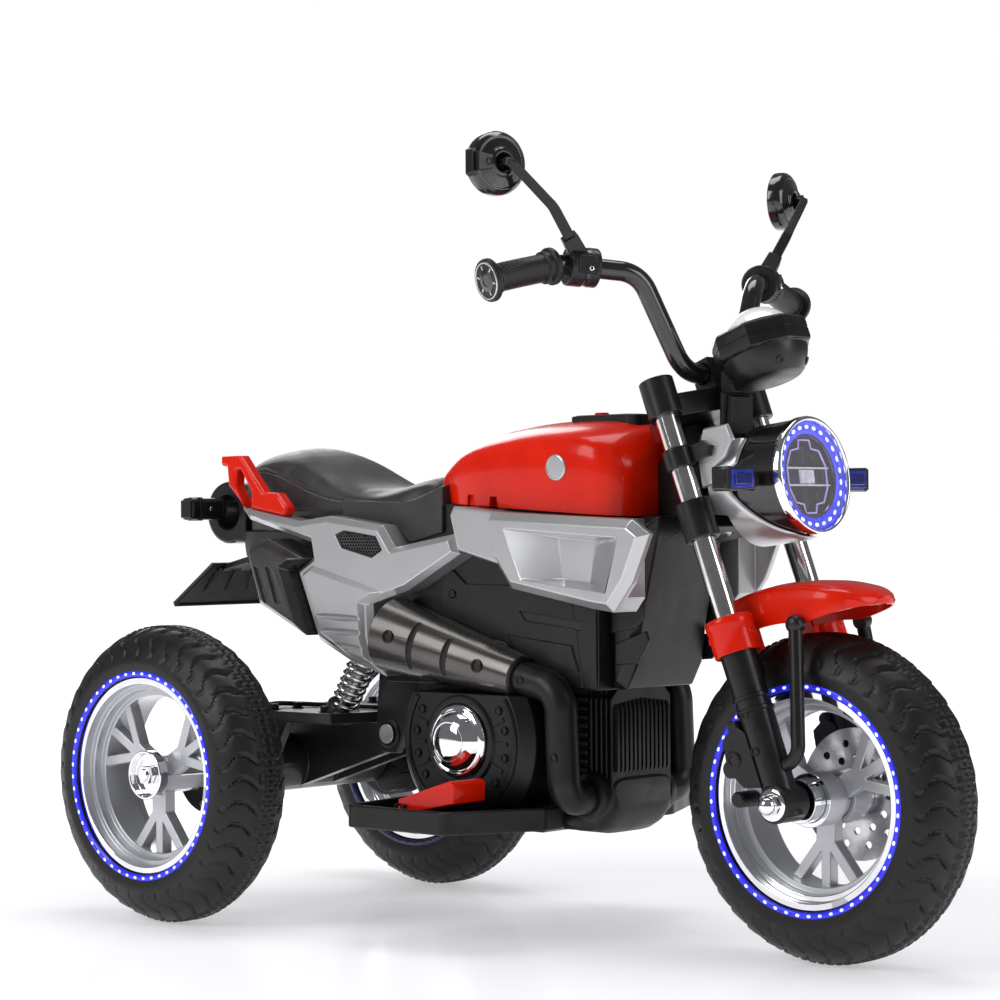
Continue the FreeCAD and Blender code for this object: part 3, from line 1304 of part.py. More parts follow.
def exhaust_shield():
    """Left exhaust shield, cut flat against the body shell."""
    reach = SHIELD_REAR_FORE - SHIELD_REAR_RADIUS
    end = SHIELD_FRONT_FORE + SHIELD_FRONT_RADIUS
    low = SHIELD_FRONT_RISE - SHIELD_REAR_RADIUS
    top = SHIELD_REAR_RISE + 2 * SHIELD_REAR_RADIUS
    outside = slab([(reach, low), (end, low), (end, top), (reach, top)], PANEL_INNER,
                   SHIELD_CENTRE + 2 * SHIELD_REAR_RADIUS)
    return shield_cone(0).common(outside)


def fairing_points():
    """Side outline of the tail fairing."""
    shares = [(0.0, 1.0), (0.278, 0.913), (0.419, 0.942), (0.661, 0.884), (0.716, 0.756),
              (0.974, 0.831), (1.0, 0.715), (0.776, 0.506), (0.617, 0.424), (0.623, 0.227),
              (0.674, 0.0), (0.514, 0.081), (0.367, 0.203), (0.268, 0.616), (0.342, 0.692),
              (0.332, 0.785), (0.038, 0.924)]
    return sketch(shares, 0, FAIRING_RISE, FAIRING_LENGTH, FAIRING_HEIGHT)


def tail_fairing():
    """Left tail fairing with its sunk grille field."""
    grille_shares = [(0.46, 0.83), (0.5, 0.855), (0.645, 0.82), (0.674, 0.738), (0.626, 0.692),
                     (0.489, 0.75)]
    cheek_shares = [(0.355, 0.66), (0.7, 0.5), (0.6, 0.41), (0.605, 0.23), (0.64, 0.05), (0.51, 0.11),
                    (0.385, 0.24), (0.3, 0.6)]
    panel = bevelled(fairing_points(), PANEL_INNER, FAIRING_OUTER, FAIRING_BEVEL)
    cheek_points = sketch(cheek_shares, 0, FAIRING_RISE, FAIRING_LENGTH, FAIRING_HEIGHT)
    cheek = tapered(cheek_points, FAIRING_OUTER - FAIRING_BEVEL / 2, FAIRING_OUTER + CHEEK_RISE,
                    CHEEK_SLOPE)
    panel = panel.fuse(cheek).removeSplitter()
    grille = sketch(grille_shares, 0, FAIRING_RISE, FAIRING_LENGTH, FAIRING_HEIGHT)
    field = slab(grille, FAIRING_OUTER - GRILLE_DEPTH, FAIRING_OUTER + OVERRUN)
    return panel.cut([field, shield_cone(CLEAR_GAP)])


def exhaust_pipe(extra):
    """Left exhaust pipe from the engine's side up and back into the shield, grown by an extra radius."""
    front, rear = shield_ends()
    run = (front - rear).normalize()
    foot = at(PIPE_FORE, SHIELD_CENTRE, PIPE_FOOT_RISE)
    points = [front + run * SEAT_GAP, front + run * PIPE_RUN, foot,
              V(foot.x, RADIATOR_HALF + SEAT_GAP, foot.z)]
    return tube(points, PIPE_RADIUS + extra, PIPE_BEND)


def muffler_tip():
    """Left muffler tip with two sunk slots."""
    shares = [(0.0, 0.81), (0.03, 0.92), (0.31, 1.0), (0.93, 0.8), (0.66, 0.68), (0.98, 0.02),
              (0.2, 0.33)]
    points = sketch(shares, TIP_FORE, TIP_RISE, TIP_LENGTH, TIP_HEIGHT)
    tip = bevelled(points, PANEL_INNER, TIP_OUTER, TIP_BEVEL)
    slots = []
    for shift in (0.0, 0.2):
        slot_shares = [(0.16 + shift, 0.72), (0.24 + shift, 0.7), (0.42 + shift, 0.36),
                       (0.34 + shift, 0.34)]
        slot = sketch(slot_shares, TIP_FORE, TIP_RISE, TIP_LENGTH, TIP_HEIGHT)
        slots.append(slab(slot, TIP_OUTER - TIP_SLOT_DEPTH, TIP_OUTER + OVERRUN))
    zone = slab(inset(fairing_points(), -CLEAR_GAP), 0, TIP_OUTER + OVERRUN)
    return tip.cut(slots + [zone])


def seat_stations():
    """Fore, half-width and crest of the seat's cross-sections."""
    # as shares of the seat's length, half-width and crest height
    shares = [(0.0, 0.2, 0.5), (0.045, 0.46, 0.82), (0.125, 0.68, 0.95), (0.235, 0.82, 1.0),
              (0.355, 0.885, 0.955),
              (0.48, 0.95, 0.72), (0.61, 0.95, 0.42), (0.75, 0.91, 0.31), (0.89, 0.86, 0.44), (1.0, 0.8,
                                                                                               0.54)]
    return [(SEAT_REAR + u * SEAT_LENGTH, wide * SEAT_HALF, crest * SEAT_CREST) for u, wide,
            crest in shares]


def seat_pad():
    """Crowned pad whose sides draw in to its flat base."""
    wires = []
    for fore, half, crest in seat_stations():
        low = SEAT_RISE
        foot = half - SEAT_DRAW_IN
        belly = low + crest * SEAT_BELLY_SHARE
        shoulder = low + crest * SEAT_SHOULDER_SHARE
        edge = half * SEAT_EDGE_SHARE
        feet = [at(fore, -foot, low), at(fore, foot, low)]
        left = [at(fore, half, belly), at(fore, edge, shoulder)]
        right = [at(fore, -half, belly), at(fore, -edge, shoulder)]
        edges = [Part.LineSegment(feet[0], feet[1]).toShape(),
                 Part.Arc(feet[1], left[0], left[1]).toShape(),
                 Part.Arc(left[1], at(fore, 0, low + crest), right[1]).toShape(),
                 Part.Arc(right[1], right[0], feet[0]).toShape()]
        wires.append(Part.Wire(edges))
    return Part.makeLoft(wires, True, False)


def seat_base():
    """Flat base under the pad."""
    left = [(fore, half - SEAT_BASE_INSET) for fore, half, crest in seat_stations()[1:-1]]
    fore, half, crest = seat_stations()[-1]
    left.append((fore - SEAT_GAP, half - SEAT_BASE_INSET))
    outline = left + [(fore, -y) for fore, y in reversed(left)]
    return plate(outline, DECK_RISE, SEAT_BASE_HEIGHT)


def grab_handle():
    """Left grab handle: a foot on the tail fairing, a leaning leg, a top bar and a rear leg."""
    fairing = fairing_points()
    slope = (fairing[1][1] - fairing[0][1]) / (fairing[1][0] - fairing[0][0])

    def seat_rise(fore):
        return fairing[0][1] + slope * (fore - fairing[0][0]) + CLEAR_GAP

    base = seat_rise(HANDLE_REAR + HANDLE_LENGTH)
    shares = [(1.0, 0.15), (0.85, 0.39), (0.64, 0.4), (0.3, 1.0), (0.0, 1.0), (0.0, 0.84), (0.09, 0.82),
              (0.11, 0.52)]
    gap_shares = [(0.23, 0.53), (0.24, 0.76), (0.3, 0.76), (0.465, 0.4)]
    outer = sketch(shares, HANDLE_REAR, base, HANDLE_LENGTH, HANDLE_HEIGHT)
    gap = sketch(gap_shares, HANDLE_REAR, base, HANDLE_LENGTH, HANDLE_HEIGHT)
    foot_shares = (0.35, 0.38, 0.45, 0.96)
    feet = [HANDLE_REAR + u * HANDLE_LENGTH for u in foot_shares]
    landing = [(fore, seat_rise(fore)) for fore in feet]
    points = landing[3:] + outer + landing[:2] + gap + landing[2:3]
    low = HANDLE_INNER
    high = HANDLE_INNER + HANDLE_THICKNESS
    return bevelled(points, low, high, HANDLE_BEVEL)


def tail_hoop():
    """Ring behind the tail cover."""
    ring = across(HOOP_FORE, HOOP_RISE, HOOP_RADIUS, -HOOP_HALF, HOOP_HALF)
    end = TAIL_REAR - SEAT_GAP
    low = TAIL_REAR_FLOOR_RISE
    neck = slab([(HOOP_FORE, low), (end, low), (end, HOOP_RISE), (HOOP_FORE, HOOP_RISE)],
                -HOOP_NECK_HALF, HOOP_NECK_HALF)
    hole = across(HOOP_FORE, HOOP_RISE, HOOP_HOLE_RADIUS, -HOOP_HALF - OVERRUN, HOOP_HALF + OVERRUN)
    reach = TAIL_REAR + HOOP_RADIUS
    top = HOOP_RISE + HOOP_RADIUS + OVERRUN
    bottom = HOOP_RISE - HOOP_RADIUS - OVERRUN
    tail = slab([(end, bottom), (reach, bottom), (reach, top), (end, top)], -BODY_HALF, BODY_HALF)
    return ring.fuse(neck).cut([hole, tail]).removeSplitter()


def plate_holder():
    """Leaning plate under the tail on a flat arm."""
    run = V(PLATE_TOP_FORE - PLATE_LOW_FORE, 0, PLATE_TOP_RISE - PLATE_LOW_RISE).normalize()
    back = V(-run.z, 0, run.x) * PLATE_THICKNESS
    corners = [at(PLATE_LOW_FORE, -PLATE_LOW_HALF, PLATE_LOW_RISE),
               at(PLATE_LOW_FORE, PLATE_LOW_HALF, PLATE_LOW_RISE),
               at(PLATE_TOP_FORE, PLATE_TOP_HALF, PLATE_TOP_RISE), at(PLATE_TOP_FORE, -PLATE_TOP_HALF,
                                                                      PLATE_TOP_RISE)]
    panel = Part.Face(loop(corners)).extrude(back)
    top = TAIL_FLOOR_RISE - SEAT_GAP
    landing = PLATE_ARM_FORE - PLATE_ARM_LANDING
    arm_points = [(PLATE_ARM_FORE, top), (landing, top),
                  (PLATE_TOP_FORE - PLATE_THICKNESS / 2, PLATE_TOP_RISE),
                  (PLATE_TOP_FORE - 2 * PLATE_THICKNESS, PLATE_TOP_RISE - PLATE_ARM_THICKNESS),
                  (landing, top - PLATE_ARM_THICKNESS), (PLATE_ARM_FORE, top - PLATE_ARM_THICKNESS)]
    arm = slab(arm_points, -PLATE_ARM_HALF, PLATE_ARM_HALF)
    return panel.fuse(arm).removeSplitter()


def engine_block():
    """Engine case with a finned front, and a round cover on each side."""
    shares = [(0.06, 1.0), (1.0, 1.0), (1.0, 0.03), (0.93, 0.0), (0.12, 0.0), (0.0, 0.25)]
    top = ENGINE_TOP - SEAT_GAP
    points = sketch(shares, ENGINE_FORE, ENGINE_FLOOR, ENGINE_LENGTH, top - ENGINE_FLOOR)
    case = slab(points, -ENGINE_HALF, ENGINE_HALF)
    rear = ENGINE_FORE + ENGINE_LENGTH
    front = rear + RADIATOR_LENGTH
    core_front = front - FIN_DEPTH
    core_half = RADIATOR_HALF - FIN_DEPTH
    fin_pitch = (top - FIN_BASE) / FIN_COUNT
    core = slab([(rear, FIN_BASE), (core_front, FIN_BASE), (core_front, top), (rear, top)], -core_half,
                core_half)
    sump = slab([(rear, RADIATOR_FLOOR), (front - SUMP_CHIN, RADIATOR_FLOOR),
                 (front, RADIATOR_FLOOR + SUMP_CHIN),
                 (front, FIN_BASE), (rear, FIN_BASE)], -RADIATOR_HALF, RADIATOR_HALF)
    middle = (rear + front) / 2
    fins = []
    for i in range(FIN_COUNT):
        low = FIN_BASE + fin_pitch * (i + 1) - FIN_THICKNESS
        high = low + FIN_THICKNESS
        fins.append(slab([(rear, low), (middle, low), (middle, high), (rear, high)], -RADIATOR_HALF,
                         RADIATOR_HALF))
    rib_pitch = (front - middle) / RIB_COUNT
    for i in range(RIB_COUNT):
        fins.append(engine_rib(front - rib_pitch * i, rib_pitch / 2, top))
    body = case.fuse([core, sump] + fins).removeSplitter()
    return [body] + both(engine_cover())


def engine_rib(fore, thickness, top):
    """Upright rib across the engine's front, its upper corners cut, ending at a fore value."""
    half = RADIATOR_HALF
    inner = half - RIB_CORNER
    shoulder = top - RIB_CORNER
    outline = [(-half, FIN_BASE), (half, FIN_BASE), (half, shoulder), (inner, top), (-inner, top),
               (-half, shoulder)]
    face = Part.Face(loop([at(fore - thickness, y, rise) for y, rise in outline]))
    return face.extrude(V(thickness, 0, 0))


def engine_cover():
    """Left round engine cover, cut flat above the footboard and under the exhaust."""
    inner = ENGINE_HALF + SEAT_GAP
    outer = ENGINE_HALF + COVER_DEPTH
    profile = [(0, inner), (COVER_RADIUS, inner), (COVER_RADIUS, outer - COVER_BEVEL),
               (COVER_RADIUS - COVER_BEVEL, outer), (0, outer)]
    cover = turned(profile, at(COVER_FORE, 0, COVER_RISE), V(0, 1, 0))
    rear = COVER_FORE - COVER_RADIUS
    front = COVER_FORE + COVER_RADIUS
    low = BOARD_RISE + BOARD_HEIGHT + CLEAR_GAP
    top = ENGINE_TOP - COVER_HEADROOM
    keep = slab([(rear, low), (front, low), (front, top), (rear, top)], 0, outer + OVERRUN)
    return cover.common(keep).cut([shield_cone(CLEAR_GAP), exhaust_pipe(CLEAR_GAP)])


def engine_cap():
    """Left bright cap with a domed face."""
    inner = ENGINE_HALF + COVER_DEPTH + SEAT_GAP
    outer = inner + CAP_DEPTH
    profile = [(0, inner), (CAP_RADIUS, inner), (CAP_RADIUS, inner + CAP_EDGE),
               (CAP_RADIUS - CAP_EDGE, outer - CAP_EDGE),
               (CAP_RADIUS / 2, outer), (0, outer)]
    return turned(profile, at(COVER_FORE, 0, COVER_RISE), V(0, 1, 0))


def board_points(margin):
    """Plan of the left footboard, drawn in by a margin."""
    shares = [(0.0, 0.0), (0.08, 1.0), (0.76, 1.0), (1.0, 0.28), (1.0, 0.0)]
    inner = ENGINE_HALF + SEAT_GAP
    points = sketch(shares, BOARD_FORE, inner, BOARD_LENGTH, BOARD_OUTER - inner)
    return inset(points, margin) if margin else points


def footboard():
    """Left footboard: a tray with a raised edge."""
    tray = plate(board_points(0), BOARD_RISE, BOARD_HEIGHT, BOARD_ROUND)
    well = plate(board_points(BOARD_RIM), BOARD_RISE + BOARD_FLOOR, BOARD_HEIGHT,
                 BOARD_ROUND - BOARD_RIM)
    corner = at(ENGINE_FORE + ENGINE_LENGTH, 0, BOARD_RISE - OVERRUN)
    pipe_room = Part.makeBox(RADIATOR_LENGTH, ENGINE_HALF + SEAT_GAP, BOARD_HEIGHT + 2 * OVERRUN,
                             corner)
    return tray.cut([well, pipe_room])


def pedal_pin_place():
    """Fore and rise of the pedal's pin."""
    return PEDAL_FORE + PEDAL_PIN_FORE, BOARD_RISE + BOARD_FLOOR + PEDAL_LIFT + PEDAL_PIN_FORE


def pedal_footboard():
    """Right footboard with two ears for the pedal's pin."""
    fore, rise = pedal_pin_place()
    low = BOARD_RISE + BOARD_FLOOR
    ears = []
    for inner in (PEDAL_CENTRE - PEDAL_HALF - CLEAR_GAP - PEDAL_EAR,
                  PEDAL_CENTRE + PEDAL_HALF + CLEAR_GAP):
        points = [(fore - PEDAL_EAR_LENGTH / 2, low), (fore + PEDAL_EAR_LENGTH / 2, low),
                  (fore + PEDAL_EAR_LENGTH / 2, low + PEDAL_EAR_HEIGHT),
                  (fore - PEDAL_EAR_LENGTH / 2, low + PEDAL_EAR_HEIGHT)]
        ear = slab(points, inner, inner + PEDAL_EAR)
        ears.append(ear.cut(across(fore, rise, PEDAL_PIN_RADIUS + RUNNING_GAP, 0, BOARD_OUTER)))
    return mirrored(footboard().fuse(ears).removeSplitter())


def throttle_pedal():
    """Wedge pedal on its pin, high at the front."""
    shares = [(0.0, 0.06), (0.0, 0.38), (0.92, 1.0), (1.0, 0.88), (0.98, 0.36), (0.16, 0.0)]
    base = BOARD_RISE + BOARD_FLOOR + PEDAL_LIFT
    points = sketch(shares, PEDAL_FORE, base, PEDAL_LENGTH, PEDAL_HEIGHT)
    low = PEDAL_CENTRE - PEDAL_HALF
    high = PEDAL_CENTRE + PEDAL_HALF
    fore, rise = pedal_pin_place()
    pin = across(fore, rise, PEDAL_PIN_RADIUS, low - PEDAL_EAR, high + PEDAL_EAR)
    return mirrored(slab(points, low, high).fuse(pin).removeSplitter())


def front_cowl():
    """Nose below the tank, with a neck round the head tube."""
    shares = [(0.0, 0.0), (0.26, 0.0), (0.45, 0.14), (0.53, 0.36), (0.82, 0.82), (0.92, 1.0),
              (0.0, 1.0)]
    top = tank_seat(TANK_FRONT) - CLEAR_GAP
    points = sketch(shares, COWL_FORE, COWL_FLOOR, COWL_LENGTH, top - COWL_FLOOR)
    half = bevelled(points, 0, COWL_HALF, COWL_BEVEL)
    nose = half.fuse(mirrored(half)).removeSplitter()
    neck = stem_zone(COWL_NECK_RADIUS)
    web_rear = TANK_FRONT + CLEAR_GAP
    head = [(web_rear, top - COWL_BEVEL), (HEAD_FORE - STEM_SETBACK + OVERRUN, top),
            (HEAD_FORE - STEM_SETBACK, HEAD_RISE),
            (web_rear, HEAD_RISE)]
    web = slab(head, -COWL_WEB_HALF, COWL_WEB_HALF)
    swing = on_fork(fork_bar(FORK_HALF + STEM_SETBACK, 0, LOWER_CLAMP - CLEAR_GAP, HEAD_LOW + CLEAR_GAP,
                             -STEM_SETBACK))
    lug_reach = STEM_LUG_REACH + OVERRUN
    behind = Part.makeBox(2 * FORK_HALF, 4 * FORK_HALF, CLAMP_HEIGHT + 4 * CLEAR_GAP,
                          V(-STEM_SETBACK - lug_reach, -2 * FORK_HALF, LOWER_CLAMP - 2 * CLEAR_GAP))
    bore = stem_zone(HEAD_TUBE_RADIUS + SEAT_GAP)
    return nose.fuse([neck, web]).cut([bore, swing.common(on_fork(behind))]).removeSplitter()


def head_tube():
    """Steel tube that carries the steering stem."""
    outer = on_fork(fork_bar(HEAD_TUBE_RADIUS, 0, HEAD_LOW, HEAD_TOP, -STEM_SETBACK))
    bore = on_fork(fork_bar(STEM_RADIUS + RUNNING_GAP, 0, HEAD_LOW - OVERRUN, HEAD_TOP + OVERRUN,
                            -STEM_SETBACK))
    return outer.cut(bore)


def shock_frame():
    """Foot and direction of the left shock, square to the haunch of the body shell, and its length."""
    face = V(HAUNCH_REAR - HAUNCH_FRONT, 0, HAUNCH_RISE - ENGINE_TOP)
    top = at(HAUNCH_FRONT, SHOCK_HALF, ENGINE_TOP) + face * SHOCK_SHARE
    up = V(face.z, 0, -face.x).normalize()
    length = (top.z - AXLE_Z - SWING_PLATE_RISE) / up.z
    return top - up * length, up, length


def swing_arm():
    """Rear arm: axle tube, top plate with spring seats, webs and the pivot tube."""
    half = [(SWING_PLATE_REAR, SWING_HALF), (SWING_PLATE_SHOULDER, SWING_HALF),
            (SWING_PLATE_SHOULDER + SWING_WEB, SWING_NECK_HALF),
            (SWING_PLATE_FRONT, SWING_NECK_HALF)]
    deck = plate(half + [(fore, -y) for fore, y in reversed(half)], SWING_PLATE_RISE - SWING_PLATE,
                 SWING_PLATE)
    axle_tube = across(0, 0, AXLE_TUBE_RADIUS, -AXLE_TUBE_HALF, AXLE_TUBE_HALF)
    pivot_tube = across(PIVOT_FORE, PIVOT_RISE, PIVOT_TUBE_RADIUS, -SWING_NECK_HALF, SWING_NECK_HALF)
    under = SWING_PLATE_RISE - SWING_PLATE / 2
    web_points = [(SWING_PLATE_REAR, under), (SWING_PLATE_FRONT, under),
                  (PIVOT_FORE, PIVOT_RISE + PIVOT_TUBE_RADIUS),
                  (PIVOT_FORE, PIVOT_RISE - PIVOT_TUBE_RADIUS), (0, -AXLE_TUBE_RADIUS),
                  (SWING_PLATE_REAR, 0)]
    web = slab(web_points, SWING_NECK_HALF - SWING_WEB, SWING_NECK_HALF)
    cheek_points = [(SWING_PLATE_REAR, under), (-SWING_PLATE_REAR * 2, under), (AXLE_TUBE_RADIUS, 0),
                    (SWING_PLATE_REAR, 0)]
    cheek = slab(cheek_points, SWING_HALF - SWING_WEB, SWING_HALF)
    foot, up, length = shock_frame()
    seat = rod(foot - up * SWING_PLATE / 2, foot + up * SHOCK_SEAT_HEIGHT, SHOCK_SEAT_RADIUS)
    arm = deck.fuse([axle_tube, pivot_tube] + both(web) + both(cheek) + both(seat))
    axle_bore = across(0, 0, AXLE_RADIUS + SEAT_GAP, -AXLE_TUBE_HALF - OVERRUN,
                       AXLE_TUBE_HALF + OVERRUN)
    pivot_bore = across(PIVOT_FORE, PIVOT_RISE, PIVOT_RADIUS + RUNNING_GAP, -SWING_NECK_HALF - OVERRUN,
                        SWING_NECK_HALF + OVERRUN)
    motors = both(motor_round(CLEAR_GAP))
    return arm.cut([axle_bore, pivot_bore] + motors).removeSplitter()


def motor_round(extra):
    """Left drive motor's can, grown by an extra radius."""
    return across(MOTOR_FORE, MOTOR_RISE, MOTOR_RADIUS + extra, AXLE_TUBE_HALF - MOTOR_LENGTH - extra,
                  AXLE_TUBE_HALF + SEAT_GAP)


def gear_motor():
    """Left gear case beside the axle tube, with its motor and output boss."""
    inner = AXLE_TUBE_HALF + SEAT_GAP
    outer = inner + GEAR_CASE_WIDTH
    case = across(0, 0, GEAR_CASE_RADIUS, inner, outer)
    boss = across(0, 0, GEAR_OUTPUT_RADIUS, outer, WHEEL_HALF - REAR_HUB_INNER - CLEAR_GAP)
    bore = across(0, 0, AXLE_RADIUS + SEAT_GAP, inner - OVERRUN, WHEEL_HALF)
    return case.fuse([boss, motor_round(0)]).cut(bore).removeSplitter()


def swing_pin():
    """Pivot pin through both lugs, with a head at each end."""
    reach = LUG_INNER + LUG_THICKNESS
    pin = across(PIVOT_FORE, PIVOT_RISE, PIVOT_RADIUS, -reach, reach)
    head = across(PIVOT_FORE, PIVOT_RISE, PIVOT_HEAD_RADIUS, reach, reach + PIVOT_HEAD)
    return pin.fuse(both(head)).removeSplitter()


def shock_rod():
    """Left spring guide, standing on the spring seat."""
    foot, up, length = shock_frame()
    start = foot + up * (SHOCK_SEAT_HEIGHT + SEAT_GAP)
    return rod(start, start + up * SHOCK_ROD_LENGTH, SHOCK_ROD_RADIUS)


def biarc(start, start_run, end, end_run):
    """Two arcs that join two points with given directions."""
    span = end - start
    total = start_run + end_run
    lean = 2 * (1 - start_run.dot(end_run))
    reach = (math.sqrt(span.dot(total) ** 2 + lean * span.dot(span)) - span.dot(total)) / lean
    middle = (start + end + (start_run - end_run) * reach) * 0.5
    arcs = []
    for first, run, last in ((start, start_run, middle), (end, end_run * -1, middle)):
        chord = last - first
        bulge = run - chord * (run.dot(chord) / chord.dot(chord))
        angle = run.getAngle(chord)
        peak = first + chord * 0.5 + bulge.normalize() * (chord.Length / 2 * math.tan(angle / 2))
        arcs.append((first, peak, last))
    arcs[1] = tuple(reversed(arcs[1]))
    return [Part.Arc(*arc).toShape() for arc in arcs]


def shock_spring():
    """Left coil spring between its seat on the swing arm and the body shell."""
    foot, up, length = shock_frame()
    across_run = V(0, 1, 0)
    side = across_run.cross(up)
    end_room = SPRING_WIRE_RADIUS + CLEAR_GAP
    start = foot + up * (SHOCK_SEAT_HEIGHT + end_room)
    rise = length - SHOCK_SEAT_HEIGHT - 2 * end_room
    steps = SPRING_TURNS * 4

    def helix(step):
        turn = math.pi / 2 * step
        radial = across_run * math.cos(turn) + side * math.sin(turn)
        tangent = side * math.cos(turn) - across_run * math.sin(turn)
        place = start + radial * SPRING_RADIUS + up * (rise * step / steps)
        run = tangent * (math.pi / 2 * SPRING_RADIUS) + up * (rise / steps)
        return place, run.normalize()

    edges = []
    for step in range(steps):
        place, run = helix(step)
        after, after_run = helix(step + 1)
        edges += biarc(place, run, after, after_run)
    least = min((helix(i / 4)[0] - helix(j / 4)[0]).Length
                for i in range(steps * 4) for j in range(i + 8, steps * 4))
    print("least gap of a spring to itself", round(least - 2 * SPRING_WIRE_RADIUS, 2))
    place, run = helix(0)
    ring = Part.Wire(Part.Circle(place, run, SPRING_WIRE_RADIUS).toShape())
    return Part.Wire(edges).makePipeShell([ring], True, False)


def export_wheels():
    """Three wheels, the brake disc and both axles."""
    front = V(FRONT_X, 0, AXLE_Z)
    for name, side in (("left", 1), ("right", -1)):
        centre = V(REAR_X, side * WHEEL_HALF, AXLE_Z)
        export("rear_tyre_" + name, tyre(centre))
        wheel = rim(centre, side, REAR_SPOKE_OFFSET, REAR_HUB_INNER, REAR_HUB_OUTER)
        export("rear_rim_" + name, wheel, hub_cup(centre, side, REAR_HUB_OUTER))
        export("rear_lights_" + name, *light_strips(centre))
    export("front_tyre", tyre(front))
    wheel = rim(front, -1, 0, FRONT_HUB_HALF, FRONT_HUB_HALF)
    export("front_rim", wheel, hub_sleeve(front, 1), hub_sleeve(front, -1))
    export("front_lights", *light_strips(front))
    export("brake_disc", brake_disc(front))
    nut_from = WHEEL_HALF + REAR_HUB_OUTER + HUB_CUP_WALL + CLEAR_GAP
    export("rear_axle", *axle(V(REAR_X, 0, AXLE_Z), nut_from + NUT_HEIGHT + OVERRUN, nut_from))
    leg_face = FORK_HALF + AXLE_BOSS_HALF + SEAT_GAP
    export("front_axle", *axle(front, leg_face + NUT_HEIGHT + OVERRUN, leg_face))


def export_steering():
    """Everything that turns with the handlebar, and the mirror heads."""
    export("fork_clamps", *fork_clamps())
    export("fork_tubes", *fork_tubes())
    export("fork_legs", *fork_legs())
    export("front_fender", front_fender(V(FRONT_X, 0, AXLE_Z)))
    export("handlebar", handlebar())
    grips = grip()
    export("grips", *(grips + [mirrored(shape) for shape in grips]))
    export("mirror_arms", *both(mirror_arm()))
    heads = mirror_head()
    export("mirror_left", *heads)
    export("mirror_right", *[mirrored(shape) for shape in heads])
    export("headlamp_shell", headlamp_shell())
    export("headlamp_lens", *headlamp_lens())
    export("headlamp_bracket", headlamp_bracket())
    inner = LAMP_RADIUS + CLEAR_GAP + BRACKET_THICKNESS + SEAT_GAP
    export("front_signals", *both(signal(SIGNAL_FORE, SIGNAL_RISE, inner, SIGNAL_HALF)))
    export("dash_pod", *dash_pod())


def export_body():
    """The fixed body with its covers, controls and electrics."""
    export("body_shell_left", socketed_half())
    export("body_shell_right", mirrored(body_half()))
    export("tail_cover", tail_cover())
    export("battery", inner_box(BATTERY_FORE, BATTERY_LENGTH, BATTERY_WIDTH, BATTERY_HEIGHT))
    export("control_box", inner_box(CONTROL_BOX_FORE, CONTROL_BOX_LENGTH, CONTROL_BOX_WIDTH,
                                    CONTROL_BOX_HEIGHT))
    export("charge_socket", charge_socket())
    export("body_screws", *body_screws())
    export("front_cowl", front_cowl())
    export("head_tube", head_tube())
    export("tank_cover", tank_cover())
    export("control_panel", control_panel())
    export("drive_switch", drive_switch())
    export("horn_button", horn_button())
    export("side_scoops", *both(side_scoop()))
    export("tail_fairings", *both(tail_fairing()))
    export("exhaust_shields", *both(exhaust_shield()))
    export("exhaust_pipes", *both(exhaust_pipe(0)))
    export("muffler_tips", *both(muffler_tip()))
    export("seat_base", seat_base())
    export("seat_pad", seat_pad())
    export("grab_handles", *both(grab_handle()))
    export("tail_hoop", tail_hoop())
    export("rear_signals", *both(signal(REAR_SIGNAL_FORE, REAR_SIGNAL_RISE, HOOP_HALF + SEAT_GAP,
                                        REAR_SIGNAL_REACH)))
    export("plate_holder", plate_holder())
    export("engine_block", *engine_block())
    export("engine_caps", *both(engine_cap()))
    export("footboards", footboard(), pedal_footboard())
    export("throttle_pedal", throttle_pedal())


def export_rear():
    """Swing arm, drive units and shocks."""
    export("swing_arm", swing_arm())
    export("swing_pin", swing_pin())
    export("gear_motors", *both(gear_motor()))
    export("shock_rods", *both(shock_rod()))
    export("shock_springs", *both(shock_spring()))


def main():
    os.makedirs("parts", exist_ok=True)
    export_wheels()
    export_steering()
    export_body()
    export_rear()


main()
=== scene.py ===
import json
import math
import bmesh
import bpy
import numpy as np
from mathutils import Matrix, Vector
from mathutils.bvhtree import BVHTree

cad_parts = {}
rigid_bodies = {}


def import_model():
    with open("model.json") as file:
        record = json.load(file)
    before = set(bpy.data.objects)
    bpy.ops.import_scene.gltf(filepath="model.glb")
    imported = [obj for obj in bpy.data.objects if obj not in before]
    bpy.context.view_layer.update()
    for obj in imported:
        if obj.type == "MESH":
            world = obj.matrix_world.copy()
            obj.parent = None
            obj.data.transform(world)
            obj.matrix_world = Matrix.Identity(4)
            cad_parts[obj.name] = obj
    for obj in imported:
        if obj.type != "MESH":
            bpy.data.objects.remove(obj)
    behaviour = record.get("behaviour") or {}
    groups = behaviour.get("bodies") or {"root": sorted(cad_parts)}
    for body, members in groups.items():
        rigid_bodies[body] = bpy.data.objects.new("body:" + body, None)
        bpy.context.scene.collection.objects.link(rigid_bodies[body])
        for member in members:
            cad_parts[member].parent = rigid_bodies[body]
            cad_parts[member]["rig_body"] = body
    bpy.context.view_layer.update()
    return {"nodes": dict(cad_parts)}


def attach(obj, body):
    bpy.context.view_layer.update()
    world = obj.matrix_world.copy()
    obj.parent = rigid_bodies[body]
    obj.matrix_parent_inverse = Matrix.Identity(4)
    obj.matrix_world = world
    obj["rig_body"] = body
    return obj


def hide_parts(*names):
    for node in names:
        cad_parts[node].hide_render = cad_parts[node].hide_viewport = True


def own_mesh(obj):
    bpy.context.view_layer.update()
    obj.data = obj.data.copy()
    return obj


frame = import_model()
NODES = frame["nodes"]

# Places in the shared frame, in metres and radians
MM = 0.001
HALF_BASE = 0.342326
AXLE_Z = 0.152
WHEEL_Y = 0.199
RAKE = math.radians(20.5)
AHEAD = (1, 0, 0)
UP = (0, 0, 1)

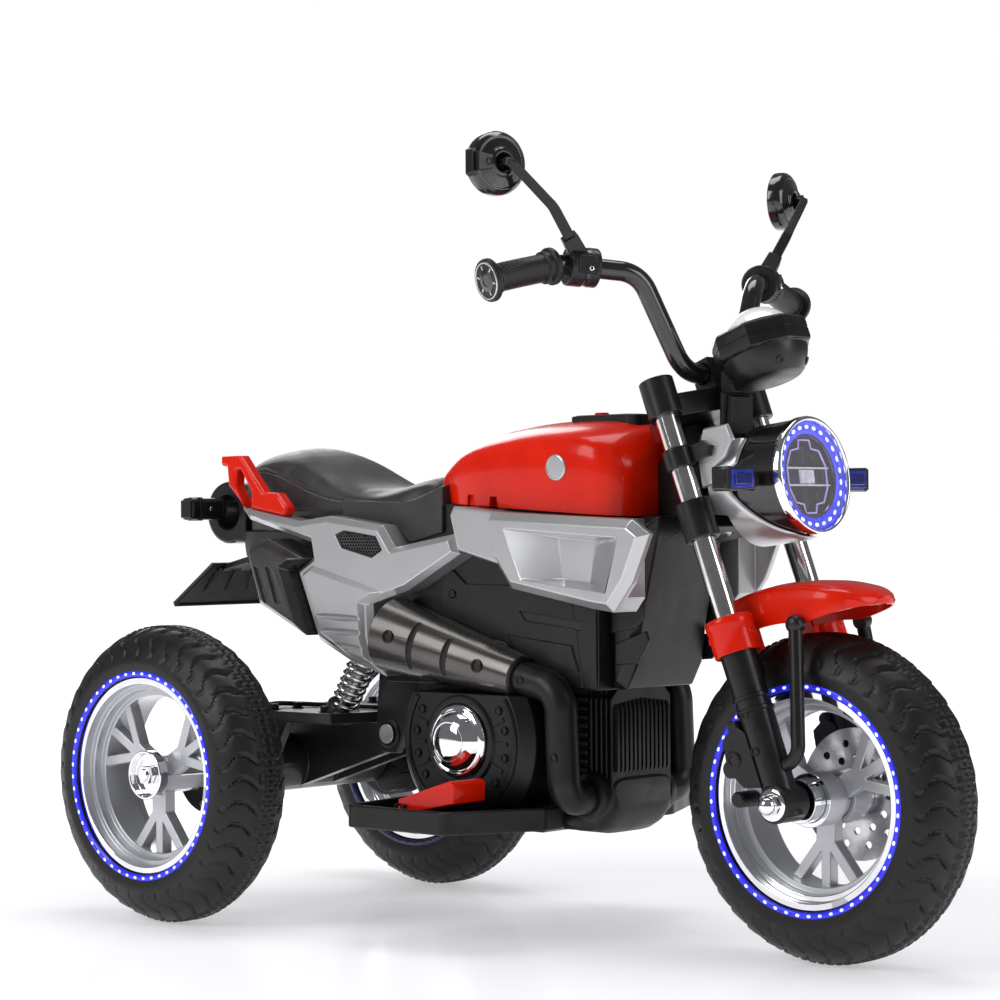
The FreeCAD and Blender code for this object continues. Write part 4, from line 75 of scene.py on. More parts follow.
# The two sides, and measures in mm that several pieces share
SIDES = (-1, 1)
SIDE_WORDS = (("right", -1), ("left", 1))
FRONT_FORE = 684.65
AXLE_RISE = 152
FORK_HALF = 70
COLLAR_ALONG = 159
PANEL_FORE = 441
PANEL_RISE = 510
FRONT_SIGNAL_RISE = 445
REAR_SIGNAL_RISE = 424


def spot(fore, y, z):
    """Point given in mm: forward of the rear axle, across, above the floor."""
    return Vector((fore * MM - HALF_BASE, y * MM, z * MM))


def fork_spot(forward, y, along):
    """Point given in mm in the raked fork's own frame, from the front axle."""
    x = math.cos(RAKE) * forward - math.sin(RAKE) * along
    z = math.sin(RAKE) * forward + math.cos(RAKE) * along
    return Vector((HALF_BASE + x * MM, y * MM, AXLE_Z + z * MM))


FORK_AXIS = fork_spot(0, 0, 1) - fork_spot(0, 0, 0)


def polar(radius, turn):
    """The two coordinates of a point at a radius and an angle in radians."""
    return radius * math.cos(turn), radius * math.sin(turn)


# Materials
class Finish:
    """A procedural surface: colour, gloss and relief all vary with noise."""

    def __init__(self, name, rough, metal=0.0, coat=0.0, coat_rough=0.05, sheen=0.0, specular=0.5):
        self.material = bpy.data.materials.new(name)
        self.material.use_nodes = True
        self.tree = self.material.node_tree
        self.shader = self.tree.nodes["Principled BSDF"]
        self.coords = self.tree.nodes.new("ShaderNodeTexCoord")
        self.shader.inputs["Metallic"].default_value = metal
        self.shader.inputs["Coat Weight"].default_value = coat
        self.shader.inputs["Coat Roughness"].default_value = coat_rough
        self.shader.inputs["Sheen Weight"].default_value = sheen
        self.shader.inputs["Specular IOR Level"].default_value = specular
        self.gloss(rough)

    def noise(self, scale, detail=4.0):
        node = self.tree.nodes.new("ShaderNodeTexNoise")
        node.inputs["Scale"].default_value = scale
        node.inputs["Detail"].default_value = detail
        node.inputs["Roughness"].default_value = 0.55
        self.tree.links.new(self.coords.outputs["Object"], node.inputs["Vector"])
        return node.outputs["Fac"]

    def cells(self, scale):
        node = self.tree.nodes.new("ShaderNodeTexVoronoi")
        node.feature = "DISTANCE_TO_EDGE"
        node.inputs["Scale"].default_value = scale
        self.tree.links.new(self.coords.outputs["Object"], node.inputs["Vector"])
        return node.outputs["Distance"]

    def spread(self, value, low, high, start=0.3, end=0.7):
        node = self.tree.nodes.new("ShaderNodeMapRange")
        node.inputs["From Min"].default_value = start
        node.inputs["From Max"].default_value = end
        node.inputs["To Min"].default_value = low
        node.inputs["To Max"].default_value = high
        self.tree.links.new(value, node.inputs["Value"])
        return node.outputs["Result"]

    def mixed(self, value, first, second):
        # inputs 6 and 7 of this node take the two colours, and output 2 gives their mix
        node = self.tree.nodes.new("ShaderNodeMix")
        node.data_type = "RGBA"
        node.inputs[6].default_value = (*first, 1)
        node.inputs[7].default_value = (*second, 1)
        self.tree.links.new(value, node.inputs[0])
        return node.outputs[2]

    def colour(self, first, second, scale, detail=5.0, start=0.32, end=0.68):
        value = self.spread(self.noise(scale, detail), 0.0, 1.0, start, end)
        self.tree.links.new(self.mixed(value, first, second), self.shader.inputs["Base Color"])

    def gloss(self, rough):
        low, high, scale = rough
        value = self.spread(self.noise(scale), low, high)
        self.tree.links.new(value, self.shader.inputs["Roughness"])

    def relief(self, value, strength, distance):
        node = self.tree.nodes.new("ShaderNodeBump")
        node.inputs["Strength"].default_value = strength
        node.inputs["Distance"].default_value = distance
        self.tree.links.new(value, node.inputs["Height"])
        if self.shader.inputs["Normal"].is_linked:
            before = self.shader.inputs["Normal"].links[0].from_socket
            self.tree.links.new(before, node.inputs["Normal"])
        self.tree.links.new(node.outputs["Normal"], self.shader.inputs["Normal"])


def moulded(name, first, second, rough, grain, strength, coat=0.0, specular=0.5):
    """Moulded plastic with a fine grain."""
    made = Finish(name, rough, coat=coat, specular=specular)
    made.colour(first, second, 55.0)
    made.relief(made.noise(grain, 2.0), strength, 0.0002)
    return made.material


def painted(name, first, second, rough, coat, specular):
    """Sprayed paint with a slight orange peel."""
    made = Finish(name, rough, coat=coat, coat_rough=0.04, specular=specular)
    made.colour(first, second, 30.0)
    made.relief(made.noise(420.0, 1.0), 0.03, 0.0004)
    return made.material


def metallic(name, first, second, rough, metal, coat):
    """Smooth metallic paint with a slight drift of tone."""
    made = Finish(name, rough, metal=metal, coat=coat, coat_rough=0.12)
    made.colour(first, second, 24.0, 1.0, 0.2, 0.8)
    made.relief(made.noise(8.0, 0.0), 0.01, 0.0002)
    return made.material


def plated(name, first, second, rough, strength):
    """Bare or plated metal with a fine grain."""
    made = Finish(name, rough, metal=1.0)
    made.colour(first, second, 60.0)
    made.relief(made.noise(700.0, 2.0), strength, 0.0001)
    return made.material


def leathered(name):
    """Grained leather-look cover."""
    made = Finish(name, (0.36, 0.52, 35.0), sheen=0.05)
    made.colour((0.012, 0.012, 0.013), (0.022, 0.022, 0.024), 30.0)
    made.relief(made.cells(520.0), 0.35, 0.0005)
    made.relief(made.noise(60.0, 4.0), 0.1, 0.002)
    return made.material


def rubbered(name, first, second, rough, strength):
    """Rubber with dusty wear and a fine grain."""
    made = Finish(name, rough, specular=0.35)
    made.colour(first, second, 22.0, 8.0, 0.35, 0.7)
    made.relief(made.noise(650.0, 3.0), strength, 0.0003)
    return made.material


def lit(name, deep, bright, strength, rough=(0.2, 0.3, 80.0)):
    """Lit plastic whose brightness varies a little."""
    made = Finish(name, rough)
    made.colour(deep, bright, 90.0)
    value = made.spread(made.noise(70.0), 0.0, 1.0)
    made.tree.links.new(made.mixed(value, deep, bright), made.shader.inputs["Emission Color"])
    made.shader.inputs["Emission Strength"].default_value = strength
    return made.material


def clear(name, tint, rough):
    """Clear plastic with faint unevenness."""
    made = Finish(name, rough)
    made.colour(tint, (1.0, 1.0, 1.0), 25.0)
    made.shader.inputs["Alpha"].default_value = 0.05
    return made.material


SHELL = moulded("black_shell", (0.005, 0.005, 0.0055), (0.009, 0.009, 0.0095), (0.28, 0.4, 60.0),
                900.0, 0.12, specular=0.36)
ENGINE = moulded("engine_black", (0.004, 0.004, 0.004), (0.0075, 0.0075, 0.0075), (0.34, 0.46, 50.0),
                 700.0, 0.2, specular=0.32)
GLOSS = moulded("gloss_black", (0.007, 0.007, 0.008), (0.012, 0.012, 0.013), (0.12, 0.2, 30.0),
                260.0, 0.03, coat=0.4)
RED = painted("red_paint", (0.55, 0.009, 0.0008), (0.63, 0.013, 0.0012), (0.2, 0.28, 20.0), 0.2, 0.14)
SILVER = metallic("silver_paint", (0.46, 0.465, 0.47), (0.5, 0.505, 0.51), (0.28, 0.31, 5.0), 0.72, 0.3)
RIM = metallic("rim_silver", (0.5, 0.51, 0.53), (0.54, 0.55, 0.57), (0.28, 0.36, 40.0), 0.55, 0.2)
SHIELD = metallic("shield_grey", (0.075, 0.07, 0.065), (0.095, 0.089, 0.083), (0.24, 0.3, 40.0), 0.75, 0.25)
SWING = metallic("swing_grey", (0.02, 0.02, 0.021), (0.03, 0.03, 0.032), (0.3, 0.42, 40.0), 0.4, 0.2)
CHROME = plated("bright_chrome", (0.76, 0.77, 0.79), (0.88, 0.88, 0.89), (0.03, 0.09, 40.0), 0.01)
FORK_CHROME = plated("fork_chrome", (0.62, 0.6, 0.58), (0.78, 0.76, 0.74), (0.06, 0.14, 40.0), 0.02)
STEEL = plated("frame_steel", (0.38, 0.38, 0.39), (0.56, 0.56, 0.57), (0.24, 0.38, 60.0), 0.06)
DISC = plated("disc_steel", (0.5, 0.5, 0.51), (0.68, 0.68, 0.69), (0.16, 0.3, 80.0), 0.08)
LEATHER = leathered("seat_leather")
THREAD = rubbered("seat_thread", (0.1, 0.1, 0.102), (0.16, 0.16, 0.162), (0.6, 0.75, 80.0), 0.1)
TYRE = rubbered("tyre_rubber", (0.0045, 0.0045, 0.0045), (0.009, 0.009, 0.0088), (0.38, 0.52, 45.0), 0.12)
GRIP = rubbered("grip_rubber", (0.006, 0.006, 0.006), (0.011, 0.011, 0.011), (0.4, 0.55, 60.0), 0.12)
CASE = moulded("battery_case", (0.09, 0.09, 0.1), (0.14, 0.14, 0.15), (0.4, 0.5, 50.0), 600.0, 0.1)
LED = lit("light_strip", (0.008, 0.008, 0.4), (0.025, 0.025, 0.75), 0.6)
LED_OFF = moulded("light_strip_unlit", (0.006, 0.007, 0.05), (0.01, 0.012, 0.09), (0.2, 0.3, 60.0),
                  300.0, 0.04, coat=0.3)
DOT = lit("light_dot", (0.2, 0.26, 1.0), (0.4, 0.48, 1.0), 2.4)
SIGNAL = moulded("signal_blue", (0.004, 0.008, 0.08), (0.008, 0.014, 0.16), (0.1, 0.18, 40.0),
                 240.0, 0.03, coat=0.5)
GLASS = clear("lamp_glass", (0.93, 0.95, 1.0), (0.01, 0.03, 30.0))
DOME = moulded("pale_dome", (0.74, 0.73, 0.7), (0.82, 0.81, 0.78), (0.12, 0.2, 30.0), 200.0, 0.02, coat=0.4)
MIRROR = plated("mirror_face", (0.8, 0.82, 0.84), (0.88, 0.89, 0.9), (0.01, 0.03, 20.0), 0.0)
BOWL = plated("lamp_bowl", (0.05, 0.04, 0.09), (0.12, 0.1, 0.2), (0.1, 0.2, 40.0), 0.02)
TRIM = lit("lamp_trim", (0.24, 0.18, 0.55), (0.42, 0.35, 0.72), 0.4)
LAMP_PALE = lit("lamp_pale", (0.34, 0.32, 0.4), (0.5, 0.48, 0.56), 0.3)
SIGNAL_EDGE = lit("signal_edge", (0.006, 0.012, 0.16), (0.02, 0.035, 0.36), 0.12, (0.1, 0.16, 60.0))
NET = moulded("grille_net", (0.03, 0.03, 0.032), (0.055, 0.055, 0.058), (0.3, 0.4, 60.0), 600.0, 0.05)
TIP = moulded("tip_black", (0.02, 0.018, 0.017), (0.034, 0.03, 0.028), (0.2, 0.3, 40.0), 400.0, 0.05,
              coat=0.3)
# painted shade: a near-black finish for sunk slots, recesses, screw crosses and the sheets behind the nets,
# where shade falls
HOLLOW_SHADE = moulded("painted_hollow_shade", (0.003, 0.003, 0.003), (0.006, 0.006, 0.006), (0.5, 0.7, 60.0), 500.0, 0.1)


# Building helpers
def new_piece(name, mesh, body, slot, materials, replaces=()):
    """Link a mesh as a piece that rides on a body."""
    mesh.name = name
    obj = bpy.data.objects.new(name, mesh)
    bpy.context.scene.collection.objects.link(obj)
    if len(mesh.materials):
        mesh.materials.clear()
    for material in materials:
        mesh.materials.append(material)
    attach(obj, body)
    if replaces:
        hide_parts(*replaces)
    return obj


def smooth(mesh, angle=30.0):
    """Smooth shading with edges kept sharp over an angle."""
    mesh.shade_smooth()
    mesh.set_sharp_from_angle(angle=math.radians(angle))


def rounded(obj, width, segments=2, angle=35.0):
    """Small rounded edges, as a mould leaves them."""
    bevel = obj.modifiers.new("edges", "BEVEL")
    bevel.width = width * MM
    bevel.segments = segments
    bevel.limit_method = "ANGLE"
    bevel.angle_limit = math.radians(angle)
    bevel.use_clamp_overlap = False
    bevel.miter_outer = "MITER_ARC"
    normals = obj.modifiers.new("normals", "WEIGHTED_NORMAL")
    normals.keep_sharp = True


def drop_normals(mesh):
    """Let go of stored normals, so that shading follows the faces."""
    if "custom_normal" in mesh.attributes:
        mesh.attributes.remove(mesh.attributes["custom_normal"])


def clean_mesh(node, merge=0.05):
    """The node's faces as one joined skin without its facets' cut lines."""
    bm = bmesh.new()
    bm.from_mesh(NODES[node].data)
    bmesh.ops.remove_doubles(bm, verts=bm.verts, dist=merge * MM)
    bmesh.ops.dissolve_degenerate(bm, edges=bm.edges, dist=merge * MM)
    bmesh.ops.dissolve_limit(bm, angle_limit=math.radians(0.5), use_dissolve_boundaries=False,
                             verts=bm.verts, edges=bm.edges, delimit=set())
    mesh = bpy.data.meshes.new(node)
    bm.to_mesh(mesh)
    bm.free()
    drop_normals(mesh)
    return mesh


def carved(obj, bm, inside):
    """Cut sunk shapes out of a skin."""
    bmesh.ops.recalc_face_normals(bm, faces=bm.faces)
    mesh = bpy.data.meshes.new("cutter")
    bm.to_mesh(mesh)
    bm.free()
    mesh.materials.append(inside)
    tool = bpy.data.objects.new("cutter", mesh)
    bpy.context.scene.collection.objects.link(tool)
    cut = obj.modifiers.new("cut", "BOOLEAN")
    cut.object = tool
    cut.operation = "DIFFERENCE"
    cut.solver = "EXACT"
    cut.use_self = True
    cut.material_mode = "TRANSFER"
    shown = obj.evaluated_get(bpy.context.evaluated_depsgraph_get())
    made = bpy.data.meshes.new_from_object(shown)
    obj.modifiers.remove(cut)
    before = obj.data
    name = before.name
    obj.data = made
    bpy.data.meshes.remove(before)
    made.name = name
    bpy.data.objects.remove(tool)
    bpy.data.meshes.remove(mesh)


def dressed(node, slot, materials, bevel, choose=None, angle=35.0, cut=None, inside=None, segments=2,
            merge=0.05):
    """Skin of a CAD node with rounded edges and its own finish."""
    mesh = clean_mesh(node, merge)
    obj = new_piece(node + "_skin", mesh, NODES[node]["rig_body"], slot, materials, [node])
    if choose:
        for polygon in mesh.polygons:
            polygon.material_index = choose(polygon.center)
    if cut:
        carved(obj, cut, inside or materials[0])
    smooth(obj.data, angle)
    if bevel:
        rounded(obj, bevel, segments, angle)
    return obj


def frame_of(origin, axis, side=None):
    """Matrix whose Z runs along an axis and whose X leans to a side."""
    z = Vector(axis).normalized()
    x = Vector(side) if side else Vector(UP) if abs(z.z) < 0.9 else Vector(AHEAD)
    x = (x - z * x.dot(z)).normalized()
    y = z.cross(x)
    matrix = Matrix((x, y, z)).transposed().to_4x4()
    matrix.translation = origin
    return matrix


def on_side(side):
    """Place function for outlines of (fore, height) at a distance out to one side, in mm."""
    return lambda fore, z, out: spot(fore, side * out, z)


def on_fork(side):
    """Place function for outlines in the fork's frame at a distance out to one side, in mm."""
    return lambda forward, along, out: fork_spot(forward, side * out, along)


def add_lathe(bm, matrix, profile, count=48, material=0, shift=None):
    """Turned skin from (radius, height) pairs in mm; a zero radius closes an end."""
    rings = []
    for radius, height in profile:
        if radius == 0:
            rings.append([bm.verts.new(matrix @ Vector((0, 0, height * MM)))])
            continue
        ring = []
        for i in range(count):
            turn = 2 * math.pi * i / count
            r = radius + (shift(turn, height) if shift else 0)
            ring.append(bm.verts.new(matrix @ Vector((*polar(r * MM, turn), height * MM))))
        rings.append(ring)
    for low, high in zip(rings, rings[1:]):
        for i in range(count):
            j = (i + 1) % count
            corners = [low[i % len(low)], low[j % len(low)], high[j % len(high)], high[i % len(high)]]
            corners = [v for n, v in enumerate(corners) if v not in corners[:n]]
            if len(corners) > 2:
                bm.faces.new(corners).material_index = material


def add_boss(bm, side, place, profile, count, material=0):
    """Turned skin that points out to one side, at a place of (fore, out, height) in mm."""
    fore, out, z = place
    add_lathe(bm, frame_of(spot(fore, side * out, z), (0, side, 0)), profile, count, material)


def add_loft(bm, rings, material=0):
    """Closed skin over rings of points in the shared frame."""
    made = [[bm.verts.new(point) for point in ring] for ring in rings]
    count = len(made[0])
    faces = [bm.faces.new(made[0][::-1]), bm.faces.new(made[-1])]
    for low, high in zip(made, made[1:]):
        for i in range(count):
            j = (i + 1) % count
            faces.append(bm.faces.new([low[i], low[j], high[j], high[i]]))
    for face in faces:
        face.material_index = material


def add_prism(bm, place, outline, low, high, draw=0.0, material=0):
    """Block on an outline in mm, set by a matrix or a place function, its far face drawn in."""
    put = place if callable(place) else lambda x, y, h: place @ (Vector((x, y, h)) * MM)
    middle = Vector((sum(x for x, y in outline), sum(y for x, y in outline))) / len(outline)
    rings = []
    for height, share in ((low, 0.0), (high, draw)):
        moved = [Vector(corner).lerp(middle, share) for corner in outline]
        rings.append([put(corner.x, corner.y, height) for corner in moved])
    add_loft(bm, rings, material)


def add_tube(bm, points, radius, count=10, closed=False, material=0):
    """Round tube along points in the shared frame; the radius in mm may depend on the share of the run."""
    rings = []
    total = len(points)
    last_side = None
    for i, point in enumerate(points):
        before = points[(i - 1) % total] if closed or i else point
        after = points[(i + 1) % total] if closed or i < total - 1 else point
        run = (after - before).normalized()
        side = last_side or (Vector(UP) if abs(run.z) < 0.9 else Vector(AHEAD))
        side = (side - run * side.dot(run)).normalized()
        last_side = side
        up = run.cross(side)
        reach = (radius(i / (total - 1)) if callable(radius) else radius) * MM
        rings.append([point + (side * math.cos(2 * math.pi * k / count)
                               + up * math.sin(2 * math.pi * k / count)) * reach for k in range(count)])
    if not closed:
        add_loft(bm, rings, material)
        return
    made = [[bm.verts.new(point) for point in ring] for ring in rings]
    for i in range(total):
        first = made[i]
        second = made[(i + 1) % total]
        for k in range(count):
            j = (k + 1) % count
            bm.faces.new([first[k], first[j], second[j], second[k]]).material_index = material


def eased(points, bend, steps=6):
    """Run of points with its corners rounded by a reach in mm."""
    run = [points[0]]
    for before, corner, after in zip(points, points[1:], points[2:]):
        start = corner + (before - corner).normalized() * bend * MM
        end = corner + (after - corner).normalized() * bend * MM
        for i in range(steps + 1):
            t = i / steps
            run.append(start * (1 - t) ** 2 + corner * 2 * t * (1 - t) + end * t ** 2)
    return run + [points[-1]]


def rectangle(long, wide, centre=(0.0, 0.0)):
    """Corners of a rectangle given by its half sizes in mm."""
    x, y = centre
    return [(x - long, y - wide), (x + long, y - wide), (x + long, y + wide), (x - long, y + wide)]


def hexagon(reach, first=0, centre=(0.0, 0.0)):
    """Corners of a hexagon in mm, the first one turned by an angle in degrees."""
    corners = [polar(reach, math.radians(60 * k + first)) for k in range(6)]
    return [(centre[0] + x, centre[1] + y) for x, y in corners]


def mirrored(half):
    """A line of points and its mirror image; a last point on the centre line isn't doubled."""
    back = half[:-1] if abs(half[-1][0]) < 1e-6 else half
    return half + [(-x, y) for x, y in reversed(back)]


def between(points, place):
    """Height at a place on a broken line of (place, height) pairs."""
    for (a, low), (b, high) in zip(points, points[1:]):
        if place <= b:
            return low + (high - low) * max(0.0, (place - a) / (b - a))
    return points[-1][1]


def finished(bm, name, body, slot, materials, angle=30.0, replaces=(), bevel=0.0, segments=2):
    """Turn a built skin into a piece."""
    bmesh.ops.remove_doubles(bm, verts=bm.verts, dist=0.002 * MM)
    bmesh.ops.recalc_face_normals(bm, faces=bm.faces)
    mesh = bpy.data.meshes.new(name)
    bm.to_mesh(mesh)
    bm.free()
    smooth(mesh, angle)
    obj = new_piece(name, mesh, body, slot, materials, replaces)
    if bevel:
        rounded(obj, bevel, segments)
    return obj


def add_screw(bm, place, axis, radius, height, material, shaded):
    """Pan-head screw whose sunk cross is painted near-black as shade."""
    matrix = frame_of(place, axis)
    add_lathe(bm, matrix, [(radius, -0.5), (radius, height * 0.45), (radius * 0.82, height * 0.85),
                           (radius * 0.5, height), (0, height)], 20, material)
    for turn in (20, 110):
        leaned = matrix @ Matrix.Rotation(math.radians(turn), 4, "Z")
        add_prism(bm, leaned, rectangle(radius * 0.6, radius * 0.13), height * 0.6, height + 0.08, 0.0, shaded)


def add_socket(bm, place, axis, radius, height, material, shaded):
    """Round socket-head bolt with a sunk hexagon whose floor is painted near-black as shade."""
    matrix = frame_of(place, axis)
    inner = radius * 0.62
    add_lathe(bm, matrix, [(radius, -1.0), (radius, height * 0.7), (radius * 0.88, height), (inner, height),
                           (inner * 0.94, height - 1.2)], 24, material)
    add_prism(bm, matrix, hexagon(inner), height - 1.6, height - 1.1, 0.0, shaded)


def add_bolt(bm, place, axis, radius, height):
    """Hexagon bolt head on a washer."""
    matrix = frame_of(place, axis)
    add_lathe(bm, matrix, [(radius * 1.35, -0.5), (radius * 1.35, 0.9), (0, 0.9)], 24)
    add_prism(bm, matrix, hexagon(radius), 0.8, height)
    top = height + 0.4
    add_lathe(bm, matrix, [(radius * 0.78, height - 0.1), (radius * 0.7, top), (0, top)], 20)


# Camera and studio
def make_camera():
    data = bpy.data.cameras.new("camera")
    data.sensor_width = 36.0
    data.lens = 101.4
    data.clip_end = 50.0
    camera = bpy.data.objects.new("camera", data)
    bpy.context.scene.collection.objects.link(camera)
    right = Vector((0.74218, 0.67016, -0.00767))
    up = Vector((0.01077, -0.00049, 0.99994))
    back = Vector((0.67012, -0.74222, -0.00758))
    matrix = Matrix((right, up, back)).transposed().to_4x4()
    matrix.translation = Vector((1.8535, -2.1217, 0.4080))
    camera.matrix_world = matrix
    bpy.context.scene.camera = camera


def softbox(name, place, target, size, power):
    data = bpy.data.lights.new(name, "AREA")
    data.shape = "RECTANGLE"
    data.size = size[0]
    data.size_y = size[1]
    data.energy = power
    light = bpy.data.objects.new(name, data)
    light.location = place
    light.rotation_euler = (Vector(target) - Vector(place)).to_track_quat("-Z", "Y").to_euler()
    bpy.context.scene.collection.objects.link(light)


def make_floor():
    bm = bmesh.new()
    bm.faces.new([bm.verts.new((x, y, 0)) for x, y in rectangle(16.0, 16.0)])
    mesh = bpy.data.meshes.new("floor")
    bm.to_mesh(mesh)
    bm.free()
    floor = bpy.data.objects.new("floor", mesh)
    bpy.context.scene.collection.objects.link(floor)
    white = Finish("studio_floor", (0.1, 0.16, 1.5), specular=0.5)
    white.colour((0.9, 0.88, 0.92), (0.92, 0.905, 0.935), 1.2)
    # painted light: the floor glows, faintly near the object and more strongly away from it, up to the open
    # white of the backdrop
    length = white.tree.nodes.new("ShaderNodeVectorMath")
    length.operation = "LENGTH"
    white.tree.links.new(white.coords.outputs["Object"], length.inputs[0])
    away = white.spread(length.outputs["Value"], 0.4, 0.9, 0.5, 1.7)
    white.shader.inputs["Emission Color"].default_value = (1.0, 0.99, 1.0, 1)
    white.tree.links.new(away, white.shader.inputs["Emission Strength"])
    mesh.materials.append(white.material)


def make_studio():
    """White backdrop for the camera, a paler sky for light and a dim one for reflections, and softboxes."""
    make_floor()
    world = bpy.data.worlds.new("studio")
    world.use_nodes = True
    tree = world.node_tree
    ground = tree.nodes["Background"]
    dim = tree.nodes.new("ShaderNodeBackground")
    open_white = tree.nodes.new("ShaderNodeBackground")
    sky = (0.95, 0.96, 1.0, 1)
    white = (1.0, 1.0, 1.0, 1)
    for node, shade, strength in ((ground, sky, 0.42), (dim, sky, 0.16), (open_white, white, 1.0)):
        node.inputs["Color"].default_value = shade
        node.inputs["Strength"].default_value = strength
    path = tree.nodes.new("ShaderNodeLightPath")
    light = tree.nodes.new("ShaderNodeMixShader")
    shown = tree.nodes.new("ShaderNodeMixShader")
    for node, ray, first, second in ((light, "Is Glossy Ray", ground, dim),
                                     (shown, "Is Camera Ray", light, open_white)):
        tree.links.new(path.outputs[ray], node.inputs[0])
        tree.links.new(first.outputs[0], node.inputs[1])
        tree.links.new(second.outputs[0], node.inputs[2])
    tree.links.new(shown.outputs[0], tree.nodes["World Output"].inputs["Surface"])
    bpy.context.scene.world = world
    softbox("key_left", (-0.9, -2.7, 1.9), (0, 0, 0.35), (1.3, 1.7), 44)
    softbox("fill_right", (2.7, 0.5, 1.3), (0, 0, 0.35), (1.0, 1.6), 20)
    softbox("top", (-0.2, 0.2, 2.7), (0, 0, 0.3), (1.8, 1.1), 30)
    softbox("back_left", (-2.2, 1.5, 1.5), (0, 0, 0.4), (1.0, 1.4), 16)
    view = bpy.context.scene.view_settings
    view.view_transform = "Standard"
    view.look = "None"


# Wheels
def tyre_profile():
    """Half-width and radius of the tyre's outside, from one bead round to the other, in mm."""
    side = [(38.4, 100.4), (40.4, 101.2), (41.4, 104.0), (41.9, 107.0), (42.3, 110.0), (42.5, 113.0)]
    # round shoulder: an arc through the CAD tyre's side, shoulder and tread edge
    a = Vector((42.6, 116.0))
    b = Vector((29.5, 140.5))
    c = Vector((9.0, 151.9))
    d = 2 * (a.x * (b.y - c.y) + b.x * (c.y - a.y) + c.x * (a.y - b.y))
    aa, bb, cc = (corner.length_squared for corner in (a, b, c))
    ux = (aa * (b.y - c.y) + bb * (c.y - a.y) + cc * (a.y - b.y)) / d
    uy = (aa * (c.x - b.x) + bb * (a.x - c.x) + cc * (b.x - a.x)) / d
    radius = (a - Vector((ux, uy))).length
    first = math.atan2(a.y - uy, a.x - ux)
    last = math.atan2(c.y - uy, c.x - ux)
    steps = 17
    half = side
    for i in range(steps + 1):
        x, r = polar(radius, first + (last - first) * i / steps)
        half.append((ux + x, uy + r))
    return mirrored(half + [(7.0, 151.95), (5.0, 151.97), (3.0, 151.99), (1.0, 152.0)])


# Tread in mm: curved lugs on the shoulders, a channel beside them and rows of studs on the crown
LUG_COUNT = 38
LUG_FOOT = 119.0
LUG_RISE = 31.0
LUG_INNER = 12.5
CHANNEL = (11.2, 13.2)
STUD_COUNT = 96
STUD_PITCH = 4.8


def tread_depth(turn, half_width, radius):
    """Depth in mm of the tread's grooves at a place on the tyre."""
    wide = abs(half_width)
    depth = 0.0
    if radius > LUG_FOOT and wide > LUG_INNER:
        share = min((radius - LUG_FOOT) / LUG_RISE, 1.0)
        pitch = 2 * math.pi / LUG_COUNT
        bend = 0.36 * math.sin(share * math.pi * 2.0) + 0.25 * share
        phase = (turn / pitch + bend) % 1.0
        gap = min(phase, 1.0 - phase)
        edge = max(0.0, 1.0 - gap / 0.13)
        fade = min(1.0, (radius - LUG_FOOT) / 5.0) * min(1.0, (wide - LUG_INNER) / 2.5)
        # each lug's face falls a little towards its trailing edge
        depth = max(3.6 * min(1.0, edge * 2.2) * fade, 1.7 * phase * fade)
    if CHANNEL[0] < wide < CHANNEL[1]:
        depth = max(depth, 1.8)
    if wide < CHANNEL[0]:
        pitch = 2 * math.pi / STUD_COUNT
        row = int((half_width + 12.0) // STUD_PITCH)
        phase = (turn / pitch + 0.5 * (row % 2)) % 1.0
        across = (half_width + 12.0) % STUD_PITCH
        if phase < 0.22 or across < 0.9:
            depth = 1.4
    return depth


def make_tyre(name, centre, body, node):
    profile = tyre_profile()
    around = 720
    turns = np.arange(around) * 2 * np.pi / around
    verts = []
    for half_width, radius in profile:
        for turn in turns:
            x, z = polar((radius - tread_depth(float(turn), half_width, radius)) * MM, turn)
            verts.append((centre.x + x, centre.y + half_width * MM, centre.z + z))
    faces = []
    for row in range(len(profile) - 1):
        low = row * around
        high = low + around
        for i in range(around):
            j = (i + 1) % around
            faces.append((low + i, low + j, high + j, high + i))
    mesh = bpy.data.meshes.new(name)
    mesh.from_pydata(verts, [], faces)
    mesh.update()
    bm = bmesh.new()
    bm.from_mesh(mesh)
    bmesh.ops.recalc_face_normals(bm, faces=bm.faces)
    bm.to_mesh(mesh)
    bm.free()
    smooth(mesh, 38.0)
    new_piece(name, mesh, body, "tyre_rubber", [TYRE], [node])


def make_strip(name, centre, body, sides, node):
    """Light strips on the wheel's faces with a ring of dots; each side is given with whether it is lit."""
    strips = bmesh.new()
    dots = bmesh.new()
    count = 52
    for side, on in sides:
        material = 0 if on else 1
        add_lathe(strips, frame_of(centre, (0, side, 0), AHEAD),
                  [(101.0, 38.6), (101.0, 41.4), (101.8, 42.3), (102.8, 42.6), (105.2, 42.6), (106.2, 42.3),
                   (107.0, 41.4), (107.0, 38.6)], 144, material)
        for i in range(count):
            turn = 2 * math.pi * (i + 0.5) / count
            x, z = polar(104.0 * MM, turn)
            place = centre + Vector((x, side * 42.4 * MM, z))
            matrix = frame_of(place, (0, side, 0), (math.cos(turn), 0, math.sin(turn)))
            matrix = matrix @ Matrix.Diagonal((0.8, 1.25, 1.0, 1.0))
            add_lathe(dots, matrix, [(1.9, 0.0), (1.7, 0.4), (1.1, 0.7), (0, 0.8)], 10, material)
    finished(strips, name, body, "light_strip", [LED, LED_OFF], 40.0, [node])
    finished(dots, name + "_dots", body, "light_strip", [DOT, LED_OFF], 50.0)


def rim_choice(centre):
    """Material chooser that gives a rim's hub cup the second finish."""
    def choose(place):
        reach = math.hypot(place.x - centre.x, place.z - centre.z) / MM
        away = abs(place.y - centre.y) / MM
        return 1 if reach < 25.4 and away > 23.0 else 0
    return choose


